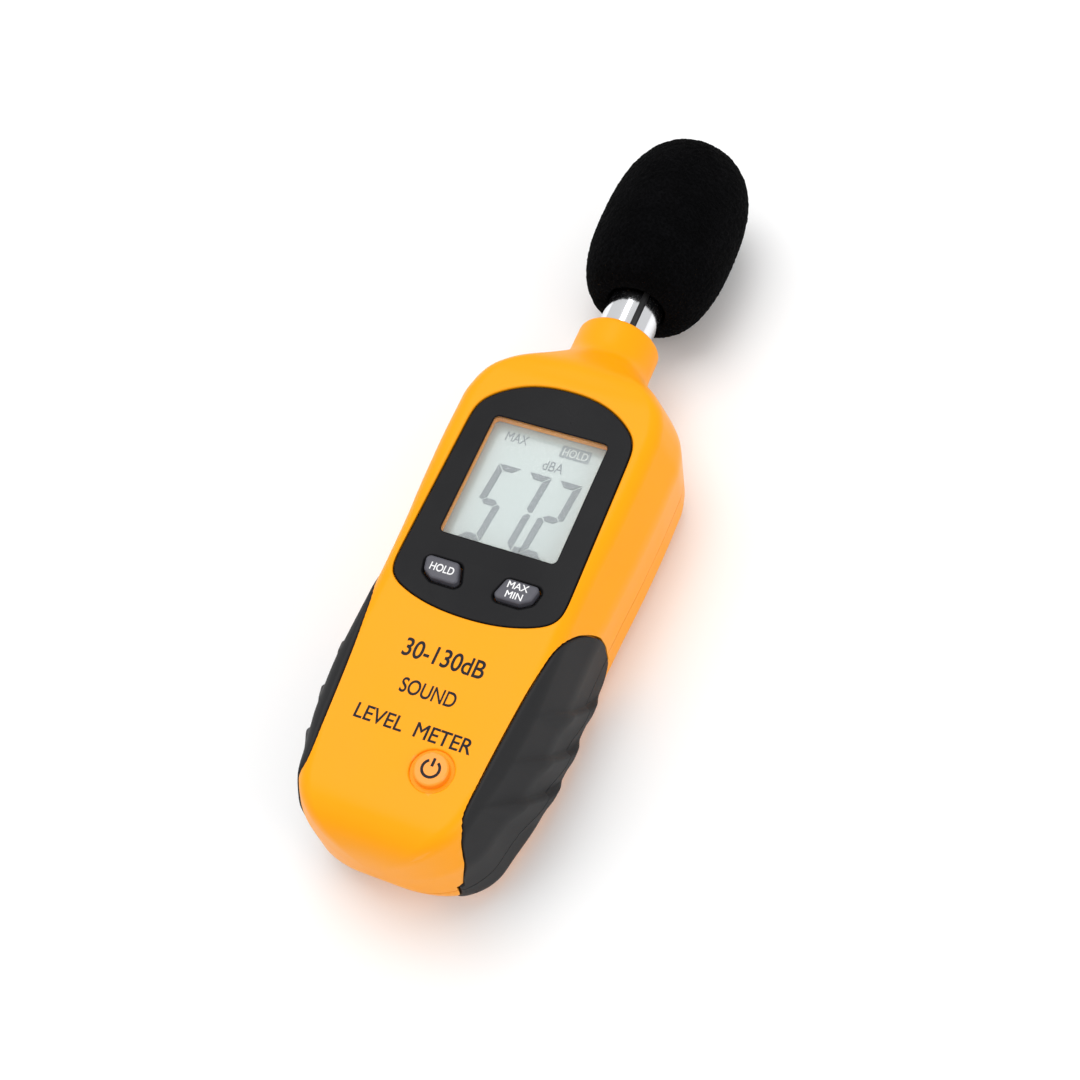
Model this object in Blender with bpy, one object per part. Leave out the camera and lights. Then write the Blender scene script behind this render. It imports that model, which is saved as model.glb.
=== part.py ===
"""Hand-held sound level meter, lying on its back with the display facing up.

Sizes are in millimetres and become metres in at(). A place on the meter is (x, s, z): x to the
right of the centreline, s along the meter from the base end towards the microphone, z up from the
flat back. The origin is at the middle of the meter's footprint, on the surface that it lies on.
"""

import math

import bmesh
import bpy
from mathutils import Matrix, Vector

MM = 0.001
MERGE = 0.000008                # metres; corners closer than this are one
GAP = 0.3                       # clearance between pieces that touch or slide

# Case
BODY_LENGTH = 143.5
BODY_WIDTH = 56.0
BODY_THICKNESS = 36.4
COLLAR_WALL = 3.4               # of the round neck about the microphone tube
COLLAR_RIM = 1.5                # rounding of the neck's mouth
PARTING_HEIGHT = 13.0           # split between front and rear shell
FACE_WALL = 3.6
SIDE_WALL = 2.2
BACK_WALL = 2.2
EDGE_RADIUS = 4.1               # front face into the leaning side
SIDE_RADIUS = 12.0              # leaning side into the upright side
BACK_RADIUS = 7.0               # upright side into the back
SIDE_DROP = 12.1                # depth over which the side leans out
BASE_ROUND = 14.0               # length of the rounded base end, seen from the front
FACE_ROUND = 12.0               # length over which the face bends down at the base
HEEL_ROUND = 16.0               # length over which the back bends up at the base
END_WALL = 5.5

# Outline of the case as (share of the length, share of the half width), without neck or base end
WIDTH_CURVE = ((0.0, 0.729), (0.10, 0.796), (0.18, 0.879), (0.28, 0.925), (0.39, 0.928),
               (0.49, 0.950), (0.60, 0.985), (0.70, 1.0), (1.0, 1.0))
LEAN_CURVE = ((0.0, 3.2), (0.14, 3.4), (0.39, 4.2), (0.55, 4.7), (1.0, 4.7))
# Shoulders as (distance from the neck's mouth, share of the way from neck to full case)
WIDE_SHOULDER = ((4.5, 0.0), (7.5, 0.034), (10.5, 0.13), (13.5, 0.284), (19.5, 0.563),
                 (22.7, 0.70), (26.5, 0.857), (30.5, 0.95), (35.5, 1.0))
DEEP_SHOULDER = ((4.5, 0.0), (8.5, 0.11), (12.5, 0.38), (17.5, 0.69), (22.5, 0.9), (28.0, 1.0))
SHOULDER_LENGTH = 36.0
ROUND_NECK = ((6.0, 1.0), (16.0, 0.5), (26.0, 0.0))

# Rubber grips
GRIP_THICKNESS = 1.5
GRIP_PROUD = 0.25
GRIP_SEAM = 0.6                 # gap between a grip's long edge and its shell
GRIP_DRAFT = 0.4                # how much narrower the inner side of a grip is at each edge
GRIP_WALL = 1.8                 # shell wall behind a grip
GRIP_BASE = 4.5
GRIP_TOP = 65.0
GRIP_BASE_TAPER = 9.5
GRIP_TOP_TAPER = 15.0
GRIP_BLUNT_BASE = 0.60          # share of its width that a grip keeps at its two ends
GRIP_BLUNT_TOP = 0.42
GRIP_EDGE = ((4.5, 17.9), (14.0, 17.9), (21.0, 18.3), (31.0, 19.0), (41.0, 19.9), (54.0, 21.6),
             (65.0, 22.6))
GRIP_REAR_HEIGHT = 3.4          # lower edge of the rear grips
RIDGE_PLACES = (23.0, 34.5, 47.5)
RIDGE_HEIGHT = 1.1
RIDGE_WIDTH = 3.4
GRIP_ROWS = 16
GRIP_COLUMNS = 5

# Display
WINDOW_CENTRE = 87.9
WINDOW_WIDTH = 27.4
WINDOW_LENGTH = 31.8
WINDOW_CORNER = 1.2
BEZEL_BOTTOM = 53.6
BEZEL_TOP = 114.9
BEZEL_HALF_BOTTOM = 20.2
BEZEL_HALF_TOP = 19.4
BEZEL_ARCH = 8.6                # rise of the arched top end
BEZEL_SAG = 5.0                 # drop of the arched bottom end
BEZEL_SUNK = 0.3
BEZEL_THICKNESS = 1.5
LENS_THICKNESS = 0.9
LENS_LAP = 1.6                  # overlap of the lens behind the bezel
LCD_MARGIN = 1.0                # glass beyond the window, left and right
LCD_LEDGE = 2.4                 # glass beyond the window, top and bottom, where the contacts are
LCD_THICKNESS = 2.2
HOLDER_WALL = 1.0
STRIP_WIDTH = 2.0

# Buttons
BUTTON_TRAVEL = 0.8
BUTTON_PROUD = 1.1
BUTTON_FLANGE = 0.8
BUTTON_FLANGE_HEIGHT = 1.0
KEY_OUTLINE = ((3.9, 59.9), (10.4, 59.9), (12.7, 61.4), (13.6, 65.1), (5.6, 65.1))
KEY_CORNER = 0.8
POWER_X = 8.0
POWER_S = 19.5
POWER_RADIUS = 3.75
STEM_RADIUS = 1.6
POWER_RING = 1.1                # width of the shallow ring around the power button
POWER_RING_DEPTH = 0.5

# Main board
BOARD_THICKNESS = 1.6
BOARD_HEIGHT = 27.0             # upper face of the board
BOARD_HALF_WIDTH = 16.0
BOARD_BASE = 13.0
BOARD_TOP = 116.0
SWITCH_SIZE = 6.0
SWITCH_HEIGHT = 2.5
PLUNGER_RADIUS = 1.75
PLUNGER_DEPTH = 1.2             # length of the plunger inside its switch
CHIP_SIZE = 12.0
CHIP_HEIGHT = 1.8

# Microphone
TUBE_DIAMETER = 14.0
TUBE_WALL = 0.8
TUBE_SHOWN = 10.7                # bare tube between neck and windscreen
TUBE_IN_FOAM = 26.0
TUBE_IN_NECK = 9.5
SLOT_WIDTH = 1.6
SLOT_TURN = 27.0                # degrees from straight up towards +X
SLEEVE_WALL = 1.2
SLEEVE_FLANGE = 1.9
SLEEVE_FLANGE_LENGTH = 2.4
CAPSULE_LENGTH = 6.0
FOAM_LENGTH = 50.8
FOAM_DIAMETER = 36.2
FOAM_WIDEST = 22.0              # distance from the mouth to the widest ring
FOAM_TOP_POWER = 2.8            # 2 is an ellipse, more is fuller
FOAM_LOW_POWER = 2.2
FOAM_MOUTH_RADIUS = 9.5
FOAM_LIP = 0.8                  # rounding of the foam where the tube enters

# Batteries and door
BATTERY_DIAMETER = 10.5
BATTERY_LENGTH = 44.5
BATTERY_COUNT = 3
BATTERY_TIP_RADIUS = 1.9
BATTERY_TIP = 1.2
BAY_BASE = 15.0
BAY_WALL = 1.4
CONTACT_THICKNESS = 0.4
SPRING_LENGTH = 3.6
SPRING_WIRE = 0.5
DOOR_BASE = 10.0
DOOR_THICKNESS = 2.0
DOOR_LAP = 0.8                  # door beyond the bay on each side
DOOR_TOP_LAP = 2.4
DOOR_RAIL = 1.0                 # width of the door's sliding rails
DOOR_RAIL_THICKNESS = 0.9
DOOR_CORNER = 3.0
DOOR_RIBS = 4
DOOR_RIB_PITCH = 2.2

# Screws
SHELL_SCREW_LOW = (19.6, 73.0)
SHELL_SCREW_HIGH_X = 11.6
SHELL_SCREW_FROM_MOUTH = 22.0
SHELL_SCREW_RADIUS = 1.3
SHELL_SCREW_HEAD = 2.5
SHELL_SCREW_HEAD_HEIGHT = 1.8
SHELL_SCREW_LENGTH = 16.0
WELL_DEPTH = 6.0
BOSS_WALL = 1.6
BOSS_SUNK = 0.8                 # bosses end this far below the outer surface
BOARD_SCREWS = ((-12.6, 112.6), (12.6, 112.6), (0.0, 44.0))
BOARD_SCREW_RADIUS = 1.0
BOARD_SCREW_HEAD = 1.9
BOARD_SCREW_LENGTH = 5.6
WIRE_RADIUS = 0.45

# What follows from the sizes above
AXIS_HEIGHT = BODY_THICKNESS / 2
TUBE_RADIUS = TUBE_DIAMETER / 2
COLLAR_RADIUS = TUBE_RADIUS + COLLAR_WALL
OVERALL_LENGTH = BODY_LENGTH + TUBE_SHOWN + FOAM_LENGTH
FOAM_START = BODY_LENGTH + TUBE_SHOWN
TUBE_START = BODY_LENGTH - TUBE_IN_NECK
TUBE_END = FOAM_START + TUBE_IN_FOAM
CAVITY_END = TUBE_START - GAP
BEZEL_FACE = BODY_THICKNESS - BEZEL_SUNK
POCKET_FLOOR = BEZEL_FACE - BEZEL_THICKNESS - GAP
CEILING = BODY_THICKNESS - FACE_WALL
LCD_FACE = CEILING - GAP
SWITCH_FACE = BOARD_HEIGHT + SWITCH_HEIGHT
PLUNGER_TOP = SWITCH_FACE + BUTTON_TRAVEL + GAP
BAY_LENGTH = BATTERY_LENGTH + SPRING_LENGTH + 2 * CONTACT_THICKNESS + 4 * GAP
BAY_TOP = BAY_BASE + BAY_LENGTH
BATTERY_PITCH = BATTERY_DIAMETER + GAP
BAY_HALF_WIDTH = BATTERY_PITCH * BATTERY_COUNT / 2 + GAP
BATTERY_HEIGHT = DOOR_THICKNESS + 2 * GAP + BATTERY_DIAMETER / 2
BAY_CEILING = BATTERY_HEIGHT + BATTERY_DIAMETER / 2 + 2 * GAP
DOOR_HALF_WIDTH = BAY_HALF_WIDTH + DOOR_LAP
DOOR_TOP = BAY_TOP + DOOR_TOP_LAP

YELLOW = (0.95, 0.40, 0.012)
DARK = (0.035, 0.035, 0.037)


# Tools -------------------------------------------------------------------------------------------

def at(x, s, z):
    """The point in metres, in the meter's frame."""
    return Vector((x, s - OVERALL_LENGTH / 2, z)) * MM


def material(name, color, roughness, metallic=0.0):
    """A plain finish, made once for each name."""
    finish = bpy.data.materials.get(name)
    if finish is None:
        finish = bpy.data.materials.new(name)
        finish.use_nodes = True
        shader = finish.node_tree.nodes["Principled BSDF"]
        shader.inputs["Base Color"].default_value = (*color, 1.0)
        shader.inputs["Roughness"].default_value = roughness
        shader.inputs["Metallic"].default_value = metallic
        finish.diffuse_color = (*color, 1.0)
    return finish


def make(name, mesh_edit, color=(0.5, 0.5, 0.5), roughness=0.5, metallic=0.0, smooth=35):
    """An object from a finished bmesh, its faces turned out and round stretches shaded smooth."""
    bmesh.ops.remove_doubles(mesh_edit, verts=mesh_edit.verts, dist=0.00001)
    bent = [face for face in mesh_edit.faces if len(face.verts) == 4]
    bmesh.ops.triangulate(mesh_edit, faces=bent, quad_method="FIXED")
    bmesh.ops.recalc_face_normals(mesh_edit, faces=mesh_edit.faces)
    mesh = bpy.data.meshes.new(name)
    mesh_edit.to_mesh(mesh)
    mesh_edit.free()
    mesh.shade_smooth()
    mesh.set_sharp_from_angle(angle=math.radians(smooth))
    piece = bpy.data.objects.new(name, mesh)
    bpy.context.scene.collection.objects.link(piece)
    mesh.materials.append(material(name, color, roughness, metallic))
    return piece


def boolean(piece, tool, operation):
    """Cut, keep or add the tool's shape, and throw the tool away."""
    step = piece.modifiers.new("shape", "BOOLEAN")
    step.operation = operation
    step.object = tool
    bpy.context.view_layer.objects.active = piece
    bpy.ops.object.modifier_apply(modifier=step.name)
    bpy.data.objects.remove(tool)
    shape = bmesh.new()
    shape.from_mesh(piece.data)
    bmesh.ops.remove_doubles(shape, verts=shape.verts, dist=MERGE)
    bmesh.ops.dissolve_degenerate(shape, edges=shape.edges, dist=MERGE)
    shape.to_mesh(piece.data)
    shape.free()


def tidy(piece):
    """Join neighbouring faces that lie in one plane."""
    shape = bmesh.new()
    shape.from_mesh(piece.data)
    bmesh.ops.dissolve_limit(shape, angle_limit=math.radians(0.2), verts=shape.verts,
                             edges=shape.edges)
    shape.to_mesh(piece.data)
    shape.free()


def grouped(pieces):
    """Several separate tools as one."""
    first = pieces[0]
    shape = bmesh.new()
    for piece in pieces:
        shape.from_mesh(piece.data)
    for piece in pieces[1:]:
        bpy.data.objects.remove(piece)
    shape.to_mesh(first.data)
    shape.free()
    return first


def cut(piece, tool):
    boolean(piece, tool, "DIFFERENCE")


def add(piece, tool):
    boolean(piece, tool, "UNION")


def keep(piece, tool):
    boolean(piece, tool, "INTERSECT")


def block(name, low, high, **finish):
    """A box between two corners."""
    shape = bmesh.new()
    bmesh.ops.create_cube(shape, size=1.0)
    first, last = at(*low), at(*high)
    size = last - first
    bmesh.ops.scale(shape, vec=size, verts=shape.verts)
    bmesh.ops.translate(shape, vec=(first + last) / 2, verts=shape.verts)
    return make(name, shape, **finish)


def plate(name, outline, low, high, **finish):
    """A flat outline of (x, s) points, raised from one height to another."""
    shape = bmesh.new()
    base = shape.faces.new([shape.verts.new(at(x, s, low)) for x, s in outline])
    raised = bmesh.ops.extrude_face_region(shape, geom=[base])
    corners = [item for item in raised["geom"] if isinstance(item, bmesh.types.BMVert)]
    bmesh.ops.translate(shape, vec=(0, 0, (high - low) * MM), verts=corners)
    return make(name, shape, **finish)


def turned(name, profile, centre, along, steps=24, **finish):
    """A closed (radius, distance) profile spun about the line along "Y" or "Z" through centre."""
    shape = bmesh.new()
    axis = Vector((0, 1, 0)) if along == "Y" else Vector((0, 0, 1))
    origin = at(*centre)
    points = [shape.verts.new(origin + axis * (run * MM) + Vector((radius * MM, 0, 0)))
              for radius, run in profile]
    edges = [shape.edges.new((points[i - 1], points[i])) for i in range(len(points))]
    bmesh.ops.spin(shape, geom=points + edges, cent=origin, axis=axis, angle=2 * math.pi,
                   steps=steps, use_merge=True)
    bmesh.ops.remove_doubles(shape, verts=shape.verts, dist=0.000002)
    flat = [edge for edge in shape.edges if not edge.link_faces]
    bmesh.ops.delete(shape, geom=flat, context="EDGES")
    return make(name, shape, **finish)


def peg(name, x, s, radius, low, high, steps=20, **finish):
    """An upright round pin."""
    profile = ((0, 0), (radius, 0), (radius, high - low), (0, high - low))
    return turned(name, profile, (x, s, low), "Z", steps, **finish)


def rounded(points, radius, steps=3):
    """The outline with each corner turned into an arc."""
    outline = []
    count = len(points)
    for index, (x, s) in enumerate(points):
        corner = Vector((x, s))
        before = Vector(points[index - 1]) - corner
        after = Vector(points[(index + 1) % count]) - corner
        outline += arc(corner, before, after, radius, steps)
    return outline


def arc(corner, before, after, radius, steps):
    """Points of the arc that rounds a corner, given the two directions that leave it."""
    half = before.angle(after) / 2
    reach = min(radius / math.tan(half), 0.48 * before.length, 0.48 * after.length)
    radius = reach * math.tan(half)
    start = corner + before.normalized() * reach
    centre = corner + (before.normalized() + after.normalized()).normalized() * (
        radius / math.sin(half))
    spoke = start - centre
    turn = math.pi - 2 * half
    side = 1 if before.x * after.y - before.y * after.x < 0 else -1
    return [tuple(centre + Matrix.Rotation(side * turn * i / steps, 2) @ spoke)
            for i in range(steps + 1)]


def grown(outline, by):
    """The outline moved outwards by a distance; it runs anticlockwise."""
    result = []
    count = len(outline)
    for index in range(count):
        here = Vector(outline[index])
        back = (here - Vector(outline[index - 1])).normalized()
        forth = (Vector(outline[(index + 1) % count]) - here).normalized()
        normal = Vector((back.y + forth.y, -back.x - forth.x))
        normal /= max(normal.length_squared / 2, 0.5)
        result.append(tuple(here + normal * by))
    return result


def oblong(x, s, width, length, corner, steps=3):
    """A rectangle with round corners about a centre."""
    w, h = width / 2, length / 2
    return rounded(((x - w, s - h), (x + w, s - h), (x + w, s + h), (x - w, s + h)), corner, steps)


def curve(knots, place):
    """Smooth value through (place, value) knots, with no overshoot between them."""
    if place <= knots[0][0]:
        return knots[0][1]
    if place >= knots[-1][0]:
        return knots[-1][1]
    slopes = [(b[1] - a[1]) / (b[0] - a[0]) for a, b in zip(knots, knots[1:])]
    index = max(i for i, knot in enumerate(knots[:-1]) if knot[0] <= place)
    ends = []
    for knot in (index, index + 1):
        if 0 < knot < len(slopes) and slopes[knot - 1] * slopes[knot] > 0:
            ends.append(2 / (1 / slopes[knot - 1] + 1 / slopes[knot]))
        else:
            ends.append(0.0)
    (x0, y0), (x1, y1) = knots[index], knots[index + 1]
    span = x1 - x0
    t = (place - x0) / span
    return (y0 * (1 + 2 * t) * (1 - t) ** 2 + y1 * t * t * (3 - 2 * t)
            + span * (ends[0] * t * (1 - t) ** 2 - ends[1] * t * t * (1 - t)))


def bulge(place, length, power):
    """1 where place is past length, falling along a superellipse to 0 at place 0."""
    if place >= length:
        return 1.0
    return (1 - (1 - max(place, 0) / length) ** power) ** (1 / power)


# Case surface ------------------------------------------------------------------------------------

def half_section(s, side=0.0, face=0.0, back=0.0):
    """Right half of the case's cross-section as (x, z) points from top to bottom, moved inwards
    by a wall on each side."""
    left = BODY_LENGTH - s
    share = s / BODY_LENGTH
    tip = bulge(s, BASE_ROUND, 2.4)
    wide = BODY_WIDTH / 2 * curve(WIDTH_CURVE, share)
    wide = COLLAR_RADIUS + (wide - COLLAR_RADIUS) * curve(WIDE_SHOULDER, left)
    deep = curve(DEEP_SHOULDER, left)
    rise = COLLAR_RADIUS + (AXIS_HEIGHT - COLLAR_RADIUS) * deep
    top = rise * bulge(s, FACE_ROUND, 3.0)
    low = rise * bulge(s, HEEL_ROUND, 2.0)
    lean = curve(LEAN_CURVE, share)
    brow = (wide - lean) * tip - side
    wide = wide * tip - side
    hip = AXIS_HEIGHT + (AXIS_HEIGHT - SIDE_DROP) * top / AXIS_HEIGHT
    high = AXIS_HEIGHT + top - face
    floor = AXIS_HEIGHT - low + back
    corners = [Vector(p) for p in ((0, high), (brow, high), (wide, hip), (wide, floor),
                                   (0, floor))]
    points = [(0.0, high), (brow * 0.45, high)]
    sizes = ((EDGE_RADIUS - side, 3), (SIDE_RADIUS - side, 1), (BACK_RADIUS - side, 3))
    for index, (radius, steps) in enumerate(sizes):
        corner = corners[index + 1]
        points += arc(corner, corners[index] - corner, corners[index + 2] - corner,
                      max(radius, 0.6) * tip, steps)
    points += [(brow * 0.45, floor), (0.0, floor)]
    neck = curve(ROUND_NECK, left)
    if neck > 0:
        ring = COLLAR_RADIUS + (wide - COLLAR_RADIUS + side) * (1 - neck) - side
        turn = math.pi / (len(points) - 1)
        circle = [(ring * math.sin(i * turn), AXIS_HEIGHT + ring * math.cos(i * turn))
                  for i in range(len(points))]
        points = [(a[0] + (b[0] - a[0]) * neck, a[1] + (b[1] - a[1]) * neck)
                  for a, b in zip(points, circle)]
    return points


def loft(name, sections, **finish):
    """A solid skinned over (s, half section) pairs and closed with flat ends."""
    shape = bmesh.new()
    rings = []
    for s, half in sections:
        loop = list(half) + [(-x, z) for x, z in reversed(half[1:-1])]
        rings.append([shape.verts.new(at(x, s, z)) for x, z in loop])
    for one, two in zip(rings, rings[1:]):
        for i in range(len(one)):
            shape.faces.new((one[i - 1], one[i], two[i], two[i - 1]))
    shape.faces.new(rings[0])
    shape.faces.new(reversed(rings[-1]))
    return make(name, shape, **finish)


def case_solid(name, inset=0.0, **finish):
    """The whole case as one solid, from the rounded base end to the neck's mouth."""
    base = [BASE_ROUND * (i / 6) ** 2.2 for i in range(1, 7)]
    shoulder = BODY_LENGTH - SHOULDER_LENGTH
    straight = [BASE_ROUND + (shoulder - BASE_ROUND) * i / 7 for i in range(1, 8)]
    shoulder = [shoulder + (SHOULDER_LENGTH - COLLAR_RIM) * i / 10 for i in range(1, 11)]
    sections = [(s, half_section(s, inset, inset, inset))
                for s in [max(0.03, inset * 1.5)] + base[2 if inset else 0:] + straight + shoulder]
    for turn in (45, 90):
        pull = inset + COLLAR_RIM * (1 - math.cos(math.radians(turn)))
        s = BODY_LENGTH - COLLAR_RIM + COLLAR_RIM * math.sin(math.radians(turn))
        sections.append((s, half_section(s, side=pull, face=pull, back=pull)))
    return loft(name, sections, **finish)


def cavity(name):
    """The room inside the case, narrower beside the grips."""
    sections = []
    behind_grip = GRIP_THICKNESS + GAP + GRIP_WALL
    grip_end = GRIP_TOP + 3.0
    shoulder = BODY_LENGTH - SHOULDER_LENGTH
    wider = grip_end + 3.0
    places = [END_WALL + (grip_end - END_WALL) * share for share in (0, 0.06, 0.14, 0.4, 0.7, 1)]
    places += [wider + (shoulder - wider) * i / 2 for i in range(3)]
    places += [shoulder + (CAVITY_END - shoulder) * i / 6 for i in range(1, 7)]
    for s in places:
        side = behind_grip if s <= grip_end else SIDE_WALL
        face = FACE_WALL if s < BODY_LENGTH - 28.0 else SIDE_WALL + (FACE_WALL - SIDE_WALL) * curve(
            DEEP_SHOULDER, BODY_LENGTH - s)
        sections.append((s, half_section(s, side=side, face=face, back=BACK_WALL)))
    return loft(name, sections)


def along_section(s, share):
    """Point at a share of the half section's own length, from the top."""
    points = [Vector(p) for p in half_section(s)]
    steps = [(b - a).length for a, b in zip(points, points[1:])]
    run = share * sum(steps)
    for index, step in enumerate(steps):
        if run <= step or index == len(steps) - 1:
            a, b = points[index], points[index + 1]
            return a + (b - a).normalized() * run
        run -= step


def outward(s, share):
    """Direction (x, s, z) out of the case there, smoothed over its facets."""
    reach = 2.0 / half_length(s)
    around = along_section(s, share + reach) - along_section(s, share - reach)
    run = along_section(s + 0.7, share) - along_section(s - 0.7, share)
    along = Vector((run.x, 1.4, run.y))
    return Vector((around.x, 0.0, around.y)).cross(along).normalized()


def share_where(s, inside):
    """The largest share of the half section for which the test still holds, from the top."""
    low, high = 0.0, 1.0
    for _ in range(24):
        middle = (low + high) / 2
        if inside(along_section(s, middle)):
            low = middle
        else:
            high = middle
    return low


def half_length(s):
    """Length of the half section, to turn millimetres into shares."""
    points = [Vector(p) for p in half_section(s)]
    return sum((b - a).length for a, b in zip(points, points[1:]))


# Grips -------------------------------------------------------------------------------------------

def grip_taper(s, grow=0.0):
    """Share of its full width that a grip has at s, falling off in an arc at both ends."""
    top = max(GRIP_BLUNT_TOP, bulge(GRIP_TOP + grow - s, GRIP_TOP_TAPER, 2.2))
    base = max(GRIP_BLUNT_BASE, bulge(s - GRIP_BASE + grow, GRIP_BASE_TAPER, 2.2))
    return min(top, base)


def front_span(s, grow=0.0):
    """Shares of the half section between which the front grip lies, and its recess if grown."""
    edge = curve(GRIP_EDGE, s)
    start = share_where(s, lambda p: p.x < edge and p.y > AXIS_HEIGHT)
    end = share_where(s, lambda p: p.y > PARTING_HEIGHT)
    reach = GRIP_SEAM * grow / GAP / half_length(s)
    split = (grow or -GAP / 2) / half_length(s)
    return end - (end - start) * grip_taper(s, grow) - reach, end + split


def rear_span(s, grow=0.0):
    """Shares of the half section between which the rear grip lies, and its recess if grown."""
    start = share_where(s, lambda p: p.y > PARTING_HEIGHT)
    end = share_where(s, lambda p: p.y > GRIP_REAR_HEIGHT)
    reach = GRIP_SEAM * grow / GAP / half_length(s)
    split = (grow or -GAP / 2) / half_length(s)
    return start - split, start + (end - start) * grip_taper(s, grow) + reach


def ridge(s, across):
    """Height of the finger ridges: wedges that widen and rise from the face to the side."""
    height = 0.0
    for place in RIDGE_PLACES:
        reach = max(0.0, across - 0.25) / 0.75
        away = (s - place + 1.5 * reach) / (RIDGE_WIDTH * (0.25 + 0.75 * reach))
        height += RIDGE_HEIGHT * min(1.0, 2 * reach) * max(0.0, 1 - away * away) ** 2
    return height


def grip(name, span, side, grow=0.0, **finish):
    """A grip as a patch of the case's surface with a thickness. A positive grow makes the recess
    that it lies in instead: larger and deeper by grow, and open to the outside."""
    places = []
    for row in range(GRIP_ROWS + 1):
        turn = (1 - math.cos(math.pi * row / GRIP_ROWS)) / 2
        share = 0.5 * row / GRIP_ROWS + 0.5 * turn
        places.append(GRIP_BASE + (GRIP_TOP - GRIP_BASE) * share)
    if grow:
        places = [GRIP_BASE - grow] + places + [GRIP_TOP + grow]
    outer, inner = [], []
    shape = bmesh.new()
    for s in places:
        start, end = span(s)
        shares = [start + (end - start) * column / GRIP_COLUMNS
                  for column in range(GRIP_COLUMNS + 1)]
        if grow:
            first, last = span(s, grow)
            shares = [first] + shares + [last]
        for sheet in (outer, inner):
            line = []
            if sheet is inner and not grow:
                draft = GRIP_DRAFT / half_length(s)
                shares = [start + draft] + shares[1:-1] + [end - draft]
            for share in shares:
                lift = -GRIP_THICKNESS - grow
                if sheet is outer:
                    across = (share - start) / (end - start)
                    swell = ridge(s, 1 - across if span is rear_span else across)
                    lift = 3.0 if grow else GRIP_PROUD + swell
                place = along_section(s, share)
                point = Vector((place.x, s, place.y)) + outward(s, share) * lift
                line.append(shape.verts.new(at(side * point.x, point.y, point.z)))
            sheet.append(line)
    skin_both(shape, outer, inner)
    return make(name, shape, **finish)


def skin_both(shape, outer, inner):
    """Faces over two matching grids of corners and round their rim."""
    rows, columns = len(outer) - 1, len(outer[0]) - 1
    for row in range(rows):
        for column in range(columns):
            for sheet in (outer, inner):
                shape.faces.new((sheet[row][column], sheet[row][column + 1],
                                 sheet[row + 1][column + 1], sheet[row + 1][column]))
        for column in (0, columns):
            shape.faces.new((outer[row][column], outer[row + 1][column],
                             inner[row + 1][column], inner[row][column]))
    for row in (0, rows):
        for column in range(columns):
            shape.faces.new((outer[row][column], outer[row][column + 1],
                             inner[row][column + 1], inner[row][column]))


def build_grips():
    rubber = {"color": DARK, "roughness": 0.75}
    for side, word in ((-1, "left"), (1, "right")):
        grip("front_grip_" + word, front_span, side, **rubber)
        grip("rear_grip_" + word, rear_span, side, **rubber)


# Shells ------------------------------------------------------------------------------------------

def bezel_outline():
    """Arched panel around display and keys, anticlockwise from its lower left."""
    low, high = BEZEL_BOTTOM, BEZEL_TOP
    wide, slim = BEZEL_HALF_BOTTOM, BEZEL_HALF_TOP
    return rounded(((-7.0, low), (7.0, low), (wide - 1.4, low + BEZEL_SAG), (wide, low + 12.0),
                    (slim, high - BEZEL_ARCH - 2.0), (slim - 4.6, high - 3.0), (6.5, high),
                    (-6.5, high), (-slim + 4.6, high - 3.0), (-slim, high - BEZEL_ARCH - 2.0),
                    (-wide, low + 12.0), (-wide + 1.4, low + BEZEL_SAG)), 9.0, 3)


def key_outline(side):
    """Outline of a display key; the left one mirrors the right one."""
    points = [(side * x, s) for x, s in KEY_OUTLINE]
    return rounded(points if side > 0 else points[::-1], KEY_CORNER)


def shell_screw_places():
    high = (SHELL_SCREW_HIGH_X, BODY_LENGTH - SHELL_SCREW_FROM_MOUTH)
    return [(side * x, s) for x, s in (SHELL_SCREW_LOW, high) for side in (-1, 1)]


def build_front_shell():
    shell = case_solid("front_shell", color=YELLOW, roughness=0.35)
    cut(shell, cavity("room"))
    split = PARTING_HEIGHT + GAP / 2
    roof = BODY_THICKNESS
    boss = SHELL_SCREW_RADIUS + GAP + BOSS_WALL
    bosses = [peg("boss", x, s, boss, split - 2, roof, 12) for x, s in shell_screw_places()]
    boss = BOARD_SCREW_RADIUS + GAP + BOSS_WALL
    bosses += [peg("boss", x, s, boss, BOARD_HEIGHT + GAP, roof, 12) for x, s in BOARD_SCREWS]
    bosses = grouped(bosses)
    keep(bosses, case_solid("limit", inset=BOSS_SUNK))
    add(shell, bosses)
    reach = WELL_DEPTH + SHELL_SCREW_LENGTH + 2 * GAP
    pilots = [peg("pilot", x, s, SHELL_SCREW_RADIUS + GAP, split - 4, reach, 10)
              for x, s in shell_screw_places()]
    reach = BOARD_HEIGHT - BOARD_THICKNESS + BOARD_SCREW_LENGTH
    pilots += [peg("pilot", x, s, BOARD_SCREW_RADIUS + GAP, BOARD_HEIGHT, reach, 10)
               for x, s in BOARD_SCREWS]
    cut(shell, grouped(pilots))
    far = BODY_WIDTH
    cut(shell, block("below", (-far, -far, -far), (far, BODY_LENGTH + far, split)))
    top = BODY_THICKNESS + 2.0
    cut(shell, plate("pocket", grown(bezel_outline(), GAP), POCKET_FLOOR, top))
    window = oblong(0, WINDOW_CENTRE, WINDOW_WIDTH, WINDOW_LENGTH, WINDOW_CORNER)
    cut(shell, plate("window", window, CEILING - 2.0, top))
    for side in (-1, 1):
        cut(shell, plate("key_hole", grown(key_outline(side), GAP), CEILING - 2.0, top))
    cut(shell, peg("power_hole", POWER_X, POWER_S, POWER_RADIUS + GAP, CEILING - 2.0, top))
    ring = POWER_RADIUS + GAP + POWER_RING
    cut(shell, peg("power_ring", POWER_X, POWER_S, ring, BODY_THICKNESS - POWER_RING_DEPTH, top))
    cut(shell, tube_bore())
    for side in (-1, 1):
        cut(shell, grip("recess", front_span, side, grow=GAP))
    tidy(shell)


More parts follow.
